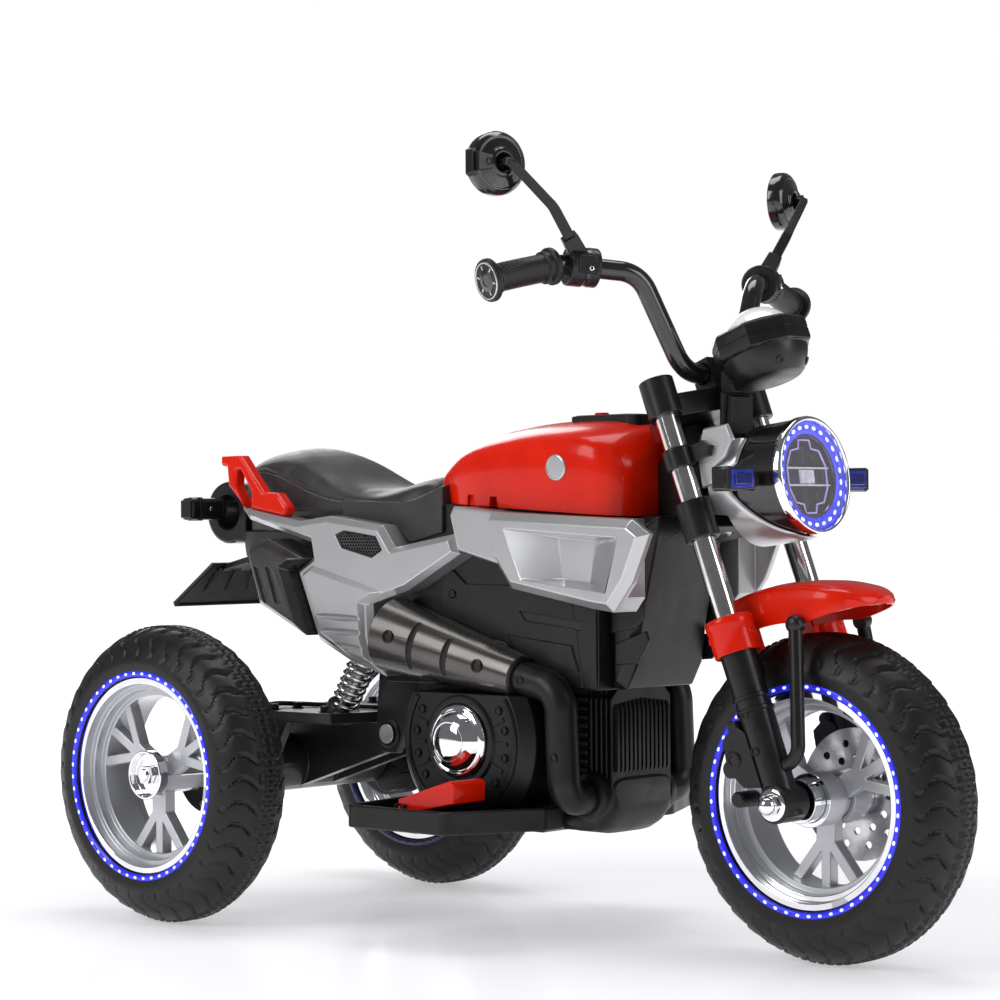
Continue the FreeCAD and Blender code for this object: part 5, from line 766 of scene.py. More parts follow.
def make_wheels():
    front = Vector((HALF_BASE, 0, AXLE_Z))
    make_tyre("front_tyre_rubber", front, "wheel_front", "front_tyre")
    make_strip("front_light_ring", front, "wheel_front", [(-1, True), (1, True)], "front_lights")
    dressed("front_rim", "rim_silver", [RIM, CHROME], 0.9, rim_choice(front))
    dressed("brake_disc", "disc_steel", [DISC], 0.3)
    for word, side in SIDE_WORDS:
        centre = Vector((-HALF_BASE, side * WHEEL_Y, AXLE_Z))
        body = "wheel_" + word
        make_tyre("rear_tyre_rubber_" + word, centre, body, "rear_tyre_" + word)
        sides = [(side, True), (-side, False)]
        make_strip("rear_light_ring_" + word, centre, body, sides, "rear_lights_" + word)
        dressed("rear_rim_" + word, "rim_silver", [RIM, CHROME], 0.9, rim_choice(centre))


# Steering
LAMP_LEAN = math.radians(7.0)
LAMP = frame_of(spot(669, 0, 448), (math.cos(LAMP_LEAN), 0, math.sin(LAMP_LEAN)), UP)
POD_LEAN = math.radians(20.0)
POD = frame_of(spot(606, 0, 586), (-math.sin(POD_LEAN), 0, math.cos(POD_LEAN)), AHEAD)


def make_headlamp():
    dressed("headlamp_shell", "gloss_black", [GLOSS], 0.8)
    bm = bmesh.new()
    add_lathe(bm, LAMP, [(50.8, -4.0), (55.5, -4.0), (55.5, 1.4), (55.0, 2.8), (54.0, 3.9), (53.0, 4.4),
                         (52.0, 4.2), (51.2, 3.4), (50.8, 2.2), (50.8, -4.0)], 96)
    finished(bm, "headlamp_bezel", "steering", "bright_chrome", [CHROME], 50.0, ["headlamp_lens"])
    bm = bmesh.new()
    add_lathe(bm, LAMP, [(50.6, -6.0), (50.6, -2.2), (49.2, -1.2), (45.0, -0.9), (40.6, -1.6), (39.0, -2.8),
                         (38.6, -6.0)], 96)
    for i in range(26):
        turn = 2 * math.pi * i / 26
        place = LAMP @ Vector((*polar(45.6 * MM, turn), -1.2 * MM))
        around = LAMP.to_3x3() @ Vector((-math.sin(turn), math.cos(turn), 0))
        matrix = frame_of(place, LAMP.to_3x3() @ Vector(UP), around)
        matrix = matrix @ Matrix.Diagonal((1.5, 0.9, 1.0, 1.0))
        add_lathe(bm, matrix, [(2.1, 0.0), (1.9, 0.5), (1.2, 0.85), (0, 1.0)], 12, 1)
    finished(bm, "headlamp_light_ring", "steering", "light_strip", [LED, DOT], 50.0)
    bm = bmesh.new()
    # deep back of the lamp in the near-black recess finish: painted shade
    add_lathe(bm, LAMP, [(38.8, -5.4), (38.0, -9.0), (35.6, -18.0), (29.6, -26.0), (19.0, -31.0),
                         (0, -33.0)], 72)
    add_lathe(bm, LAMP, [(39.2, -2.6), (38.4, -1.8), (37.0, -2.0), (36.2, -3.2), (36.2, -6.5),
                         (38.0, -7.5)], 72, 2)
    # cross-shaped inner trim with a lens bar
    cross = mirrored([(34, 8), (26, 10), (24, 22), (10, 30)])
    cross += [(-x, -y) for x, y in cross]
    line = [LAMP @ (Vector((x, y, -6.0)) * MM) for x, y in cross]
    add_tube(bm, line, 0.9, 8, True, 1)
    back = [LAMP @ (Vector((x * 0.9, y * 0.9, -14.0)) * MM) for x, y in cross]
    add_tube(bm, back, 0.6, 8, True, 2)
    add_prism(bm, LAMP, rectangle(8.0, 34.0), -14.0, -7.0, 0.02, 2)
    for x in (-8.0, 8.0):
        add_tube(bm, [LAMP @ (Vector((x, y, -6.4)) * MM) for y in (-34.0, 34.0)], 0.9, 8, False, 3)
    add_prism(bm, LAMP, rectangle(6.6, 11.0), -7.2, -5.0, 0.12, 3)
    add_prism(bm, LAMP, rectangle(3.2, 6.0), -5.2, -3.8, 0.2, 3)
    for x in (-21.0, 21.0):
        add_prism(bm, LAMP, rectangle(9.0, 5.0, (x, 0.0)), -18.0, -11.0, 0.1, 2)
    finished(bm, "headlamp_inner", "steering", "bright_chrome", [HOLLOW_SHADE, TRIM, BOWL, LAMP_PALE], 30.0)
    bm = bmesh.new()
    add_lathe(bm, LAMP, [(50.6, 0.2), (50.6, 1.2), (42.0, 2.4), (28.0, 3.2), (14.0, 3.7), (0, 3.9)], 72)
    add_lathe(bm, LAMP, [(50.6, 0.2), (42.0, 1.4), (28.0, 2.2), (14.0, 2.7), (0, 2.9)], 72)
    finished(bm, "headlamp_glass", "steering", "lamp_glass", [GLASS], 50.0)


def make_bracket():
    """Silver cradle that holds the lamp from its sides and from below, on its back plate and fork rings."""
    bm = bmesh.new()
    # front edge of the cradle in the lamp's frame, by the angle away from straight below
    edge = [(0, -10), (22, -12), (80, -52), (98, -58), (104, -52), (109, -44), (136, -41)]
    rings = []
    for i in range(91):
        turn = 46 - 272 * i / 90
        away = abs(turn + 90)
        front = between(edge, away)
        back = -78 if away > 62 else -64
        shape = [(54.9, front), (57.2, front - 1.6), (58.4, front - 6), (58.4, back), (54.9, back)]
        ring = []
        for r, h in shape:
            y, x = polar(r, math.radians(turn))
            ring.append(LAMP @ (Vector((x, y, h)) * MM))
        rings.append(ring)
    add_loft(bm, rings)
    for side in SIDES:
        add_prism(bm, on_side(side), [(581, 468), (588, 493), (616, 497), (624, 482), (614, 466), (602, 458),
                                      (598, 440), (586, 436)], 57.0, 61.0, 0.06)
        add_lathe(bm, frame_of(fork_spot(0, side * FORK_HALF, 333), FORK_AXIS),
                  [(11.3, -10.0), (13.4, -10.0), (14.2, -9.0), (14.2, 9.0), (13.4, 10.0), (11.3, 10.0)],
                  material=1)
        add_prism(bm, on_fork(side), [(2, 325), (30, 325), (36, 333), (30, 341), (2, 341)],
                  56.0, 68.0, 0.0, 1)
    plate = frame_of(spot(580, 0, 0), AHEAD, (0, 1, 0))
    add_prism(bm, plate, rectangle(24, 48, (0, 479)), 0.0, 3.4, 0.0, 1)
    add_prism(bm, plate, rectangle(56, 28, (0, 459)), 0.4, 3.0, 0.0, 1)
    add_prism(bm, plate, [(-20, 486), (20, 486), (16, 526), (-16, 526)], 3.0, 8.0, 0.1, 1)
    finished(bm, "headlamp_cradle", "steering", "silver_paint", [SILVER, SHELL], 35.0, ["headlamp_bracket"],
             0.9, 3)


def make_front_signals():
    bm = bmesh.new()
    lens = bmesh.new()
    for side in SIDES:
        matrix = frame_of(spot(646, side * 58, FRONT_SIGNAL_RISE), (0, side, 0), AHEAD)
        add_prism(bm, matrix, rectangle(6.0, 7.0), 0.0, 14.0)
        add_prism(bm, matrix, rectangle(8.6, 11.0), 10.0, 49.5)
        add_prism(bm, matrix, rectangle(9.6, 11.8), 47.0, 54.0, 0.12)
        front = frame_of(spot(654.4, side * 88.5, FRONT_SIGNAL_RISE), AHEAD, UP)
        add_prism(lens, front, rectangle(8.6, 17.0), -0.4, 1.6, 0.05, 0)
        add_prism(lens, front, rectangle(5.6, 13.0), 1.5, 2.6, 0.08, 1)
    finished(bm, "front_signal_cases", "steering", "black_shell", [GLOSS], 30.0, ["front_signals"], 1.6, 3)
    finished(lens, "front_signal_lenses", "steering", "signal_blue", [SIGNAL_EDGE, SIGNAL], 30.0, bevel=0.8)


def flats(turn, height):
    """Drop of the pod's faceted ring from a round one, in mm."""
    if height < -26.5 or height > -0.6:
        return 0.0
    step = math.pi / 4
    off = (turn + step / 2) % step - step / 2
    return 46.0 * (math.cos(step / 2) / math.cos(off) - 1.0) + 1.2


def make_pod():
    bm = bmesh.new()
    add_lathe(bm, POD, [(0, -52.0), (25.0, -52.0), (29.6, -50.8), (33.0, -48.0), (38.0, -39.0),
                        (40.8, -31.5), (41.6, -27.6), (43.0, -26.8), (44.4, -26.2), (45.6, -25.0),
                        (46.0, -23.0), (46.0, -15.4), (45.4, -15.0), (45.4, -14.4), (46.0, -14.0),
                        (46.0, -6.4), (45.0, -3.6), (42.6, -1.4), (38.6, -0.3), (34.2, 0.0), (33.0, -1.0),
                        (32.0, -1.2)], 96, 0, flats)
    # pale dome: the cap of a ball
    foot = 33.0
    rise = 20.0
    ball = (foot ** 2 + rise ** 2) / (2 * rise)
    turns = [math.asin(foot / ball) * (1 - i / 12) for i in range(12)]
    cap = [(ball * math.sin(turn), rise - ball + ball * math.cos(turn)) for turn in turns]
    add_lathe(bm, POD, [(foot, -1.2)] + cap + [(0, rise)], 72, 1)
    add_prism(bm, frame_of(spot(585.7, 0, 527.2), UP, AHEAD), rectangle(8.0, 18.0), 0.0, 24.0)
    for turn in (35, -35, 145, -145):
        angle = math.radians(turn)
        place = POD @ (Vector((*polar(35.6, angle), -43.0)) * MM)
        lean = POD.to_3x3() @ Vector((*polar(0.8, angle), -0.6))
        add_socket(bm, place, lean, 4.2, 1.4, 0, 2)
    finished(bm, "dash_pod_bowl", "steering", "black_shell", [SHELL, DOME, HOLLOW_SHADE], 24.0, ["dash_pod"])


def bar_bend(side):
    """Where the handlebar bends into its grip."""
    return spot(498, side * 157, 644.5)


def make_grips():
    bm = bmesh.new()
    for side in SIDES:
        start = bar_bend(side)
        end = spot(479, side * 229, 627.5)
        matrix = frame_of(start, end - start, UP)
        length = (end - start).length / MM

        def knurl(turn, height):
            share = (height - 20.0) / (length - 26.0)
            if not 0.0 <= share <= 1.0:
                return 0.0
            # diamond field on the rider's side and a smooth sunk sweep on the other
            field = math.sin(20 * turn + 1.1 * height) * math.sin(20 * turn - 1.1 * height)
            sweep = 0.5 + 0.5 * math.sin(turn + 2.2 * share)
            return 0.55 * field * sweep - 0.7 * (1.0 - sweep)

        profile = [(9.8, 7.6), (17.0, 7.6), (17.5, 8.4), (17.5, 11.6), (16.8, 12.5), (14.6, 13.2),
                   (14.6, 16.6), (15.2, 17.0), (15.2, 18.8), (13.9, 19.4)]
        rows = 46
        profile += [(13.4, 20.0 + (length - 26.0) * i / rows) for i in range(rows + 1)]
        profile += [(14.4, length - 5.6), (14.4, length - 3.2), (13.4, length - 2.6), (13.4, length + 0.2),
                    (19.0, length + 0.2), (20.0, length + 1.2), (20.0, length + 4.2), (19.2, length + 5.6),
                    (17.6, length + 6.0), (0, length + 5.2)]
        add_lathe(bm, matrix, profile, 120, 0, knurl)
        add_lathe(bm, matrix, [(17.8, length + 5.2), (17.5, length + 6.4), (16.6, length + 6.8),
                               (15.6, length + 6.4), (15.2, length + 4.8)], 48, 1)
        for k in range(6):
            angle = math.radians(60 * k + 15)
            ray = matrix @ Vector((*polar(12.2 * MM, angle), (length + 5.2) * MM))
            out = matrix.to_3x3() @ Vector((*polar(1, angle), 0))
            add_prism(bm, frame_of(ray, end - start, out), rectangle(2.2, 1.0), 0.0, 1.1, 0.1, 1)
        add_lathe(bm, matrix, [(11.0, length + 4.6), (10.2, length + 6.0), (6.0, length + 6.6),
                               (5.6, length + 5.9), (0, length + 5.9)], 40, 2)
    finished(bm, "grip_sleeves", "steering", "grip_rubber", [GRIP, STEEL, GLOSS], 40.0, ["grips"])


def add_mirror_arm(bm, side, pivot, normal):
    """Sleeve of a mirror's arm, from its clamp on the bar to the back of the head."""
    shoulder = spot(537, side * 89, 638)
    elbow = bar_bend(side)
    run = (elbow - shoulder).normalized()
    end = elbow - run * 7.5 * MM
    start = end - run * 28 * MM
    foot = start + (end - start) * 0.35
    knee = spot(511, side * 180, 695)
    neck = pivot + normal * 18 * MM
    rise = (knee - foot).normalized()
    points = eased([foot + rise * 16 * MM, knee, neck, pivot + normal * 12 * MM], 5.0, 3)
    add_tube(bm, points, lambda share: 7.4 - 2.8 * share, 4)
    socket = frame_of(foot + rise * 12 * MM, rise, run)
    add_prism(bm, socket, rectangle(8.5, 8.0), 0.0, 24.0, 0.12)
    clamp = frame_of(start, run, rise)
    add_lathe(bm, clamp, [(9.8, -0.6), (17.4, -0.6), (18.4, 0.4), (18.4, 9.4), (17.6, 10.2)], 48)
    add_lathe(bm, clamp, [(17.6, 13.0), (19.0, 13.8), (19.0, 27.4), (18.0, 28.6), (9.8, 28.6)], 48)
    front = Vector(AHEAD) - run * run.x
    block = frame_of(start + run * 13 * MM + front * 11 * MM, front, run)
    add_prism(bm, block, rectangle(10.0, 9.0), 0.0, 10.6, 0.1)
    place = start + run * 11 * MM + front.normalized() * 20.4 * MM - Vector((0, 0, 4 * MM))
    add_screw(bm, place, front, 2.6, 1.2, 1, 2)


def make_mirrors():
    arms = bmesh.new()
    turn = math.radians(15.0)
    for word, side in SIDE_WORDS:
        normal = Vector((math.cos(turn), side * math.sin(turn), 0))
        centre = spot(479, side * 220, 734)
        matrix = frame_of(centre, normal, UP)
        bm = bmesh.new()
        add_lathe(bm, matrix, [(25.2, -8.6), (25.6, -9.0), (28.6, -9.0), (29.4, -8.2), (29.6, -6.0),
                               (29.6, -1.0), (29.0, 1.6), (27.4, 4.0), (24.6, 6.2), (23.6, 6.3),
                               (23.0, 5.9), (22.2, 6.1), (16.4, 8.4), (13.6, 9.0), (12.6, 10.6),
                               (10.4, 11.4), (8.8, 11.0), (8.2, 9.8), (8.2, 6.0), (6.4, 2.0), (0, 2.0)], 96)
        add_lathe(bm, matrix, [(25.4, -8.2), (0, -8.2)], 72, 1)
        out = -side
        add_prism(bm, matrix, [(-7.0, out * 9.4), (7.0, out * 9.4), (8.4, out * 20.0), (9.6, out * 27.6),
                               (-9.6, out * 27.6), (-8.4, out * 20.0)], 1.0, 10.4, 0.1, 2)
        add_prism(bm, matrix, [(-14.0, out * 25.4), (14.0, out * 25.4), (11.0, out * 30.4),
                               (-11.0, out * 30.4)], -7.0, 5.0, 0.08, 2)
        add_socket(bm, matrix @ Vector((0, out * 15.5 * MM, 10.2 * MM)), normal, 3.4, 1.0, 2, 3)
        finished(bm, "mirror_housing_" + word, "mirror_" + word + "_head", "gloss_black",
                 [GLOSS, MIRROR, SHELL, HOLLOW_SHADE], 30.0, ["mirror_" + word], 0.5)
        add_mirror_arm(arms, side, centre + normal * 3 * MM, normal)
    dressed("mirror_arms", "gloss_black", [GLOSS], 0.7)
    finished(arms, "mirror_arm_sleeves", "steering", "gloss_black", [SHELL, CHROME, HOLLOW_SHADE], 30.0, bevel=0.9)


def make_fork():
    dressed("fork_tubes", "bright_chrome", [FORK_CHROME], 0.5)
    dressed("fork_clamps", "engine_black", [SHELL], 1.4, segments=3)
    dressed("fork_legs", "black_shell", [SHELL], 0.9)
    dressed("front_axle", "bright_chrome", [CHROME], 0.5)
    dressed("handlebar", "gloss_black", [GLOSS], 0.6)
    bm = bmesh.new()
    nuts = bmesh.new()
    for side in SIDES:
        # knobs and ribs of the dummy caliper
        for fore, z, radius in ((638, 219, 6.4), (633, 203, 7.4), (634.5, 181, 8.4), (643, 154, 7.4)):
            add_boss(bm, side, (fore, 57, z), [(0, 0), (radius - 1.4, 0), (radius, 1.4), (radius, 26.0),
                                               (radius - 1.6, 28.2), (0, 28.2)], 28)
        add_boss(bm, side, (640, 84.5, 190), [(8.0, -1.0), (8.0, 1.2), (6.6, 2.4), (4.6, 2.4), (4.2, 1.4),
                                              (0, 1.4)], 28)
        for fore, z in ((653.5, 232), (665, 199)):
            add_socket(bm, spot(fore, side * 85.6, z), (0, side, 0), 4.2, 2.2, 0, 1)
        # ring step where the leg's sleeve ends
        for along, reach in ((100.0, 17.4), (88.0, 17.2)):
            add_lathe(bm, frame_of(fork_spot(0, side * FORK_HALF, along), FORK_AXIS),
                      [(reach - 1.2, -2.4), (reach + 0.5, -1.4), (reach + 0.6, 1.4), (reach - 1.2, 2.6)])
        # round end of the fender stay
        add_lathe(bm, frame_of(fork_spot(58, side * 52.8, 150), (0, side, 0)),
                  [(0, -6.4), (6.0, -6.4), (8.0, -4.6), (8.6, -1.0), (8.6, 2.0), (7.6, 5.0), (5.0, 7.0),
                   (0, 7.6)], 32)
        # washer and domed cap on the axle's end
        nut = (FRONT_FORE, 86.7, AXLE_RISE)
        add_boss(nuts, side, nut, [(14.5, -0.4), (14.5, 1.4), (13.6, 2.0), (9.4, 2.0)], 40)
        add_boss(nuts, side, nut, [(8.6, 7.4), (8.4, 9.4), (7.6, 12.0), (5.8, 14.4), (3.0, 16.0),
                                   (0, 16.5)], 40)
        # screws in the fender's collars
        for forward, across in ((19.5, 0.0), (-14.0, 15.5)):
            place = fork_spot(forward * 1.08, side * (FORK_HALF + across), COLLAR_ALONG)
            away = place - fork_spot(0, side * FORK_HALF, COLLAR_ALONG)
            add_screw(nuts, place, away, 3.0, 1.4, 1, 2)
    finished(bm, "fork_leg_details", "steering", "black_shell", [SHELL, HOLLOW_SHADE], 35.0)
    finished(nuts, "front_axle_caps", "steering", "bright_chrome", [CHROME, RED, HOLLOW_SHADE], 35.0)


def make_steering():
    make_fork()
    make_headlamp()
    make_bracket()
    make_front_signals()
    make_pod()
    make_grips()
    make_mirrors()


# Chassis
PLAIN = {
    "tail_cover": ("black_shell", SHELL, 1.2),
    "tail_hoop": ("black_shell", SHELL, 3.0),
    "engine_block": ("engine_black", ENGINE, 0.9),
    "front_cowl": ("black_shell", SHELL, 1.6),
    "head_tube": ("frame_steel", STEEL, 0.5),
    "control_panel": ("black_shell", SHELL, 1.0),
    "seat_base": ("seat_leather", LEATHER, 1.0),
    "exhaust_pipes": ("engine_black", ENGINE, 0.8),
    "muffler_tips": ("gloss_black", TIP, 1.2),
    "grab_handles": ("red_paint", RED, 1.4),
    "rear_signals": ("gloss_black", SHELL, 1.6),
    "footboards": ("engine_black", ENGINE, 1.6),
    "battery": ("battery_case", CASE, 1.2),
    "control_box": ("engine_black", ENGINE, 1.0),
    "charge_socket": ("black_shell", SHELL, 0.4),
    "swing_pin": ("frame_steel", STEEL, 0.5),
    "throttle_pedal": ("red_paint", RED, 1.2),
    "drive_switch": ("red_paint", RED, 0.8),
    "horn_button": ("red_paint", RED, 0.8),
    "swing_arm": ("engine_black", SWING, 1.2),
    "gear_motors": ("engine_black", ENGINE, 1.4),
    "rear_axle": ("bright_chrome", CHROME, 0.5),
    "shock_rods": ("frame_steel", STEEL, 0.5),
    "plate_holder": ("black_shell", SHELL, 0.8),
}


def make_plain():
    for node, (slot, material, bevel) in PLAIN.items():
        dressed(node, slot, [material], bevel)


def cad_finish(node, material):
    """A CAD node that stays gets its finish directly."""
    obj = NODES[node]
    obj.data.materials.clear()
    obj.data.materials.append(material)


def make_springs():
    """Coil springs in chrome, their skin on its own copy of the mesh."""
    coils = dressed("shock_springs", "frame_steel", [FORK_CHROME], 0.0, angle=60.0)
    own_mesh(coils)


def make_fairings():
    """Silver tail fairings with three grooves, and the side scoops."""
    grooves = bmesh.new()

    def swell(share):
        return 3.4 * math.sin(math.pi * (0.06 + 0.88 * share)) ** 0.4

    for side in SIDES:
        for start, end in (((121, 313), (197, 310)), ((126, 298), (193, 296)), ((132, 284), (188, 281))):
            points = []
            for i in range(9):
                fore, z = (a + (b - a) * i / 8 for a, b in zip(start, end))
                points.append(spot(fore, side * 108.4, z))
            add_tube(grooves, points, swell, 14)
    dressed("tail_fairings", "silver_paint", [SILVER], 0.5, cut=grooves, merge=0.3, angle=20.0)
    dressed("side_scoops", "silver_paint", [SILVER], 0.9, merge=0.5, angle=12.0)


def make_grilles():
    """Honeycomb nets in the fields of the tail fairings, over a near-black sheet of painted shade."""
    shares = [(0.46, 0.83), (0.5, 0.855), (0.645, 0.82), (0.674, 0.738), (0.626, 0.692), (0.489, 0.75)]
    field = [Vector((u * 313.0, 253.0 + w * 172.0)) for u, w in shares]

    def inside(x, z):
        for a, b in zip(field, field[1:] + field[:1]):
            edge = b - a
            off = edge.x * (z - a.y) - edge.y * (x - a.x)
            if -off / edge.length < 1.9:
                return False
        return True

    pitch = 3.7
    middles = []
    for row in range(-10, 11):
        for column in range(-13, 14):
            x = 178.0 + pitch * (column + 0.5 * (row % 2))
            z = 388.0 + pitch * 0.866 * row
            if inside(x, z):
                middles.append((x, z))
    bm = bmesh.new()
    for side in SIDES:
        put = on_side(side)
        # near-black sheet behind the net: painted shade
        add_prism(bm, put, [(p.x, p.y) for p in field], 96.6, 97.3, 0.02, 1)
        for middle in middles:
            outer = hexagon(2.14, 30, middle)
            inner = hexagon(1.5, 30, middle)
            rings = [[bm.verts.new(put(u, w, h)) for u, w in ring]
                     for ring, h in ((outer, 97.2), (outer, 99.2), (inner, 99.2), (inner, 97.2))]
            for low, high in zip(rings, rings[1:]):
                for k in range(6):
                    j = (k + 1) % 6
                    bm.faces.new([low[k], low[j], high[j], high[k]])
    finished(bm, "fairing_grilles", "chassis", "black_shell", [NET, HOLLOW_SHADE], 30.0)


def curve(points, place):
    """Smooth curve through points, at a place along it."""
    slopes = []
    last = len(points) - 1
    for i in range(len(points)):
        a = points[max(i - 1, 0)]
        b = points[min(i + 1, last)]
        slopes.append([(q - p) / (b[0] - a[0]) for p, q in zip(a[1:], b[1:])])
    for i in range(last):
        a, b = points[i], points[i + 1]
        if place <= b[0] or i == last - 1:
            run = b[0] - a[0]
            t = (place - a[0]) / run
            h = (2 * t ** 3 - 3 * t ** 2 + 1, t ** 3 - 2 * t ** 2 + t,
                 3 * t ** 2 - 2 * t ** 3, t ** 3 - t ** 2)
            return [h[0] * p + h[1] * run * m + h[2] * q + h[3] * run * n
                    for p, q, m, n in zip(a[1:], b[1:], slopes[i], slopes[i + 1])]
    return list(points[-1][1:])


# Tank in mm, and its half width, shoulder height and crest height as shares at shares of its length
TANK_REAR = 249.0
TANK_LONG = 254.0
TANK_HALF = 90.0
TANK_FOOT = 428.0
TANK_FALL = 16.0
TANK_RISE = 79.0
REAR_ROUND = 5.0
FRONT_ROUND = 6.0
TANK = [(0.0, 0.6, 0.2, 0.34), (0.05, 0.7, 0.36, 0.56), (0.18, 0.85, 0.54, 0.82), (0.4, 0.95, 0.67, 0.955),
        (0.63, 1.0, 0.73, 1.0), (0.85, 1.0, 0.71, 0.985), (0.95, 0.92, 0.57, 0.89), (1.0, 0.74, 0.37, 0.7)]


def tank_ring(share, inset):
    """Points across the tank at a share of its length, its shoulders rounded, as (across, height) in mm."""
    wide, shoulder, crest = curve(TANK, share)
    half = TANK_HALF * wide - inset
    floor = TANK_FOOT - TANK_FALL * share
    mid = TANK_FOOT + TANK_RISE * shoulder
    high = TANK_FOOT + TANK_RISE * crest - inset
    centre = (high ** 2 - mid ** 2 - half ** 2) / (2 * (high - mid))
    reach = high - centre
    first = math.atan2(mid - centre, half)
    line = [(half - 4.0 + 4.0 * i / 12, floor + (mid - floor) * i / 12) for i in range(12)]
    for i in range(23):
        y, z = polar(reach, first + (math.pi / 2 - first) * i / 22)
        line.append((y, centre + z))
    line = mirrored(line)
    for _ in range(14):
        evened = [((a[0] + 2 * b[0] + c[0]) / 4, (a[1] + 2 * b[1] + c[1]) / 4)
                  for a, b, c in zip(line, line[1:], line[2:])]
        line = [line[0]] + evened + [line[-1]]
    return line


def make_tank():
    """Tank with round shoulders, a pocket for the panel, notches in its foot and room for the steering."""
    # places along the tank, each with how far its ring is drawn in to round the ends
    stations = []
    for i in range(6):
        turn = math.pi / 2 * i / 6
        stations.append((TANK_REAR + REAR_ROUND * (1 - math.cos(turn)), REAR_ROUND * (1 - math.sin(turn))))
    flat = TANK_LONG - REAR_ROUND - FRONT_ROUND
    stations += [(TANK_REAR + REAR_ROUND + flat * i / 70, 0.0) for i in range(71)]
    for i in range(1, 8):
        turn = math.pi / 2 * i / 7
        stations.append((TANK_REAR + TANK_LONG - FRONT_ROUND + FRONT_ROUND * math.sin(turn),
                         FRONT_ROUND * (1 - math.cos(turn))))
    rings = []
    for fore, inset in stations:
        rings.append([spot(fore, y, z) for y, z in tank_ring((fore - TANK_REAR) / TANK_LONG, inset)])
    bm = bmesh.new()
    add_loft(bm, rings)
    tank = finished(bm, "tank_cover_skin", "chassis", "red_paint", [RED], 30.0, ["tank_cover"])
    cut = bmesh.new()
    pocket = []
    for (x, y), first in zip(rectangle(31.3, 20.3, (PANEL_FORE, 0)), (180, 270, 0, 90)):
        for i in range(7):
            ahead, across = polar(12, math.radians(first + 15 * i))
            pocket.append((x + ahead, y + across))
    add_prism(cut, spot, pocket, 494.0, 530.0)
    add_lathe(cut, frame_of(fork_spot(-32, 0, 374), FORK_AXIS), [(0, 0), (34.3, 0), (34.3, 60), (0, 60)], 64)
    for fore in (303.6, 337.9):
        low = TANK_FOOT - 2.0 - TANK_FALL * (fore - TANK_REAR) / TANK_LONG
        notch = [(fore, low), (fore + 14, low), (fore + 11.9, low + 12), (fore + 2.1, low + 12)]
        for side in SIDES:
            add_prism(cut, on_side(side), notch, 72.0, 96.0)
    carved(tank, cut, RED)
    smooth(tank.data)


# Fender in mm
FENDER_RADIUS = 200.0
FENDER_HALF = 46.0
FENDER_WALL = 3.2


def make_fender():
    """Arched fender with a drooping rounded nose and a collar on each fork leg."""
    centre = spot(FRONT_FORE, 0, AXLE_RISE)
    rings = []
    for i in range(49):
        x = -90.8 + 157.8 * i / 48
        nose = max(0.0, (x - 20.0) / 47.0)
        half = FENDER_HALF * max(0.05, 1 - nose ** 2.4) ** 0.5
        radius = FENDER_RADIUS - 2.0 * nose ** 2
        depth = 38.0 - 30.0 * min(1.0, max(0.0, (x - 2.0) / 65.0)) ** 1.5
        turn = math.asin(x / FENDER_RADIUS)
        lip = min(9.0, half * 0.5)
        outer = mirrored([(half, radius - depth), (half, radius - max(depth * 0.5, lip)),
                          (half - 0.1 * lip, radius - lip), (half - 0.45 * lip, radius - 0.55 * lip),
                          (half - lip, radius - 0.32 * lip), (half * 0.45, radius - 0.6), (0.0, radius)])
        inner = []
        for y, r in reversed(outer):
            sunk = r - FENDER_WALL - 8.0 * nose ** 6
            inner.append((y * (half - FENDER_WALL) / half, max(sunk, radius - depth)))
        rings.append([centre + Vector((r * math.sin(turn), y, r * math.cos(turn))) * MM
                      for y, r in outer + inner])
    bm = bmesh.new()
    add_loft(bm, rings)
    for side in SIDES:
        add_lathe(bm, frame_of(fork_spot(0, side * FORK_HALF, 0), FORK_AXIS),
                  [(17.8, 142.0), (21.0, 142.0), (21.8, 142.8), (21.8, 166.6), (22.6, 167.6), (22.6, 174.6),
                   (21.4, 176.0), (17.8, 176.0), (17.8, 142.0)], 64)
        add_prism(bm, on_fork(side), rectangle(10, 16, (0, COLLAR_ALONG)), 41.0, 52.0)
    finished(bm, "fender_skin", "steering", "red_paint", [RED], 42.0, ["front_fender"])


# Exhaust shield in mm: the ends of its axis as (fore, height), and its radii there
SHIELD_OUT = 88.5
SHIELD_REAR = (216, 295)
SHIELD_FRONT = (385, 258)
SHIELD_RADII = (38.0, 21.0)


def shield_spot(side, share, angle, extra=0.0):
    """Point on the exhaust shield and the way out there, by share of its length and degrees of rise."""
    rear, front = (spot(fore, side * SHIELD_OUT, z) for fore, z in (SHIELD_REAR, SHIELD_FRONT))
    axis = (front - rear).normalized()
    up = Vector((-axis.z, 0, axis.x))
    away = Vector((0, side, 0)) * math.cos(math.radians(angle)) + up * math.sin(math.radians(angle))
    wide, narrow = SHIELD_RADII
    return rear.lerp(front, share) + away * (wide + (narrow - wide) * share + extra) * MM, away


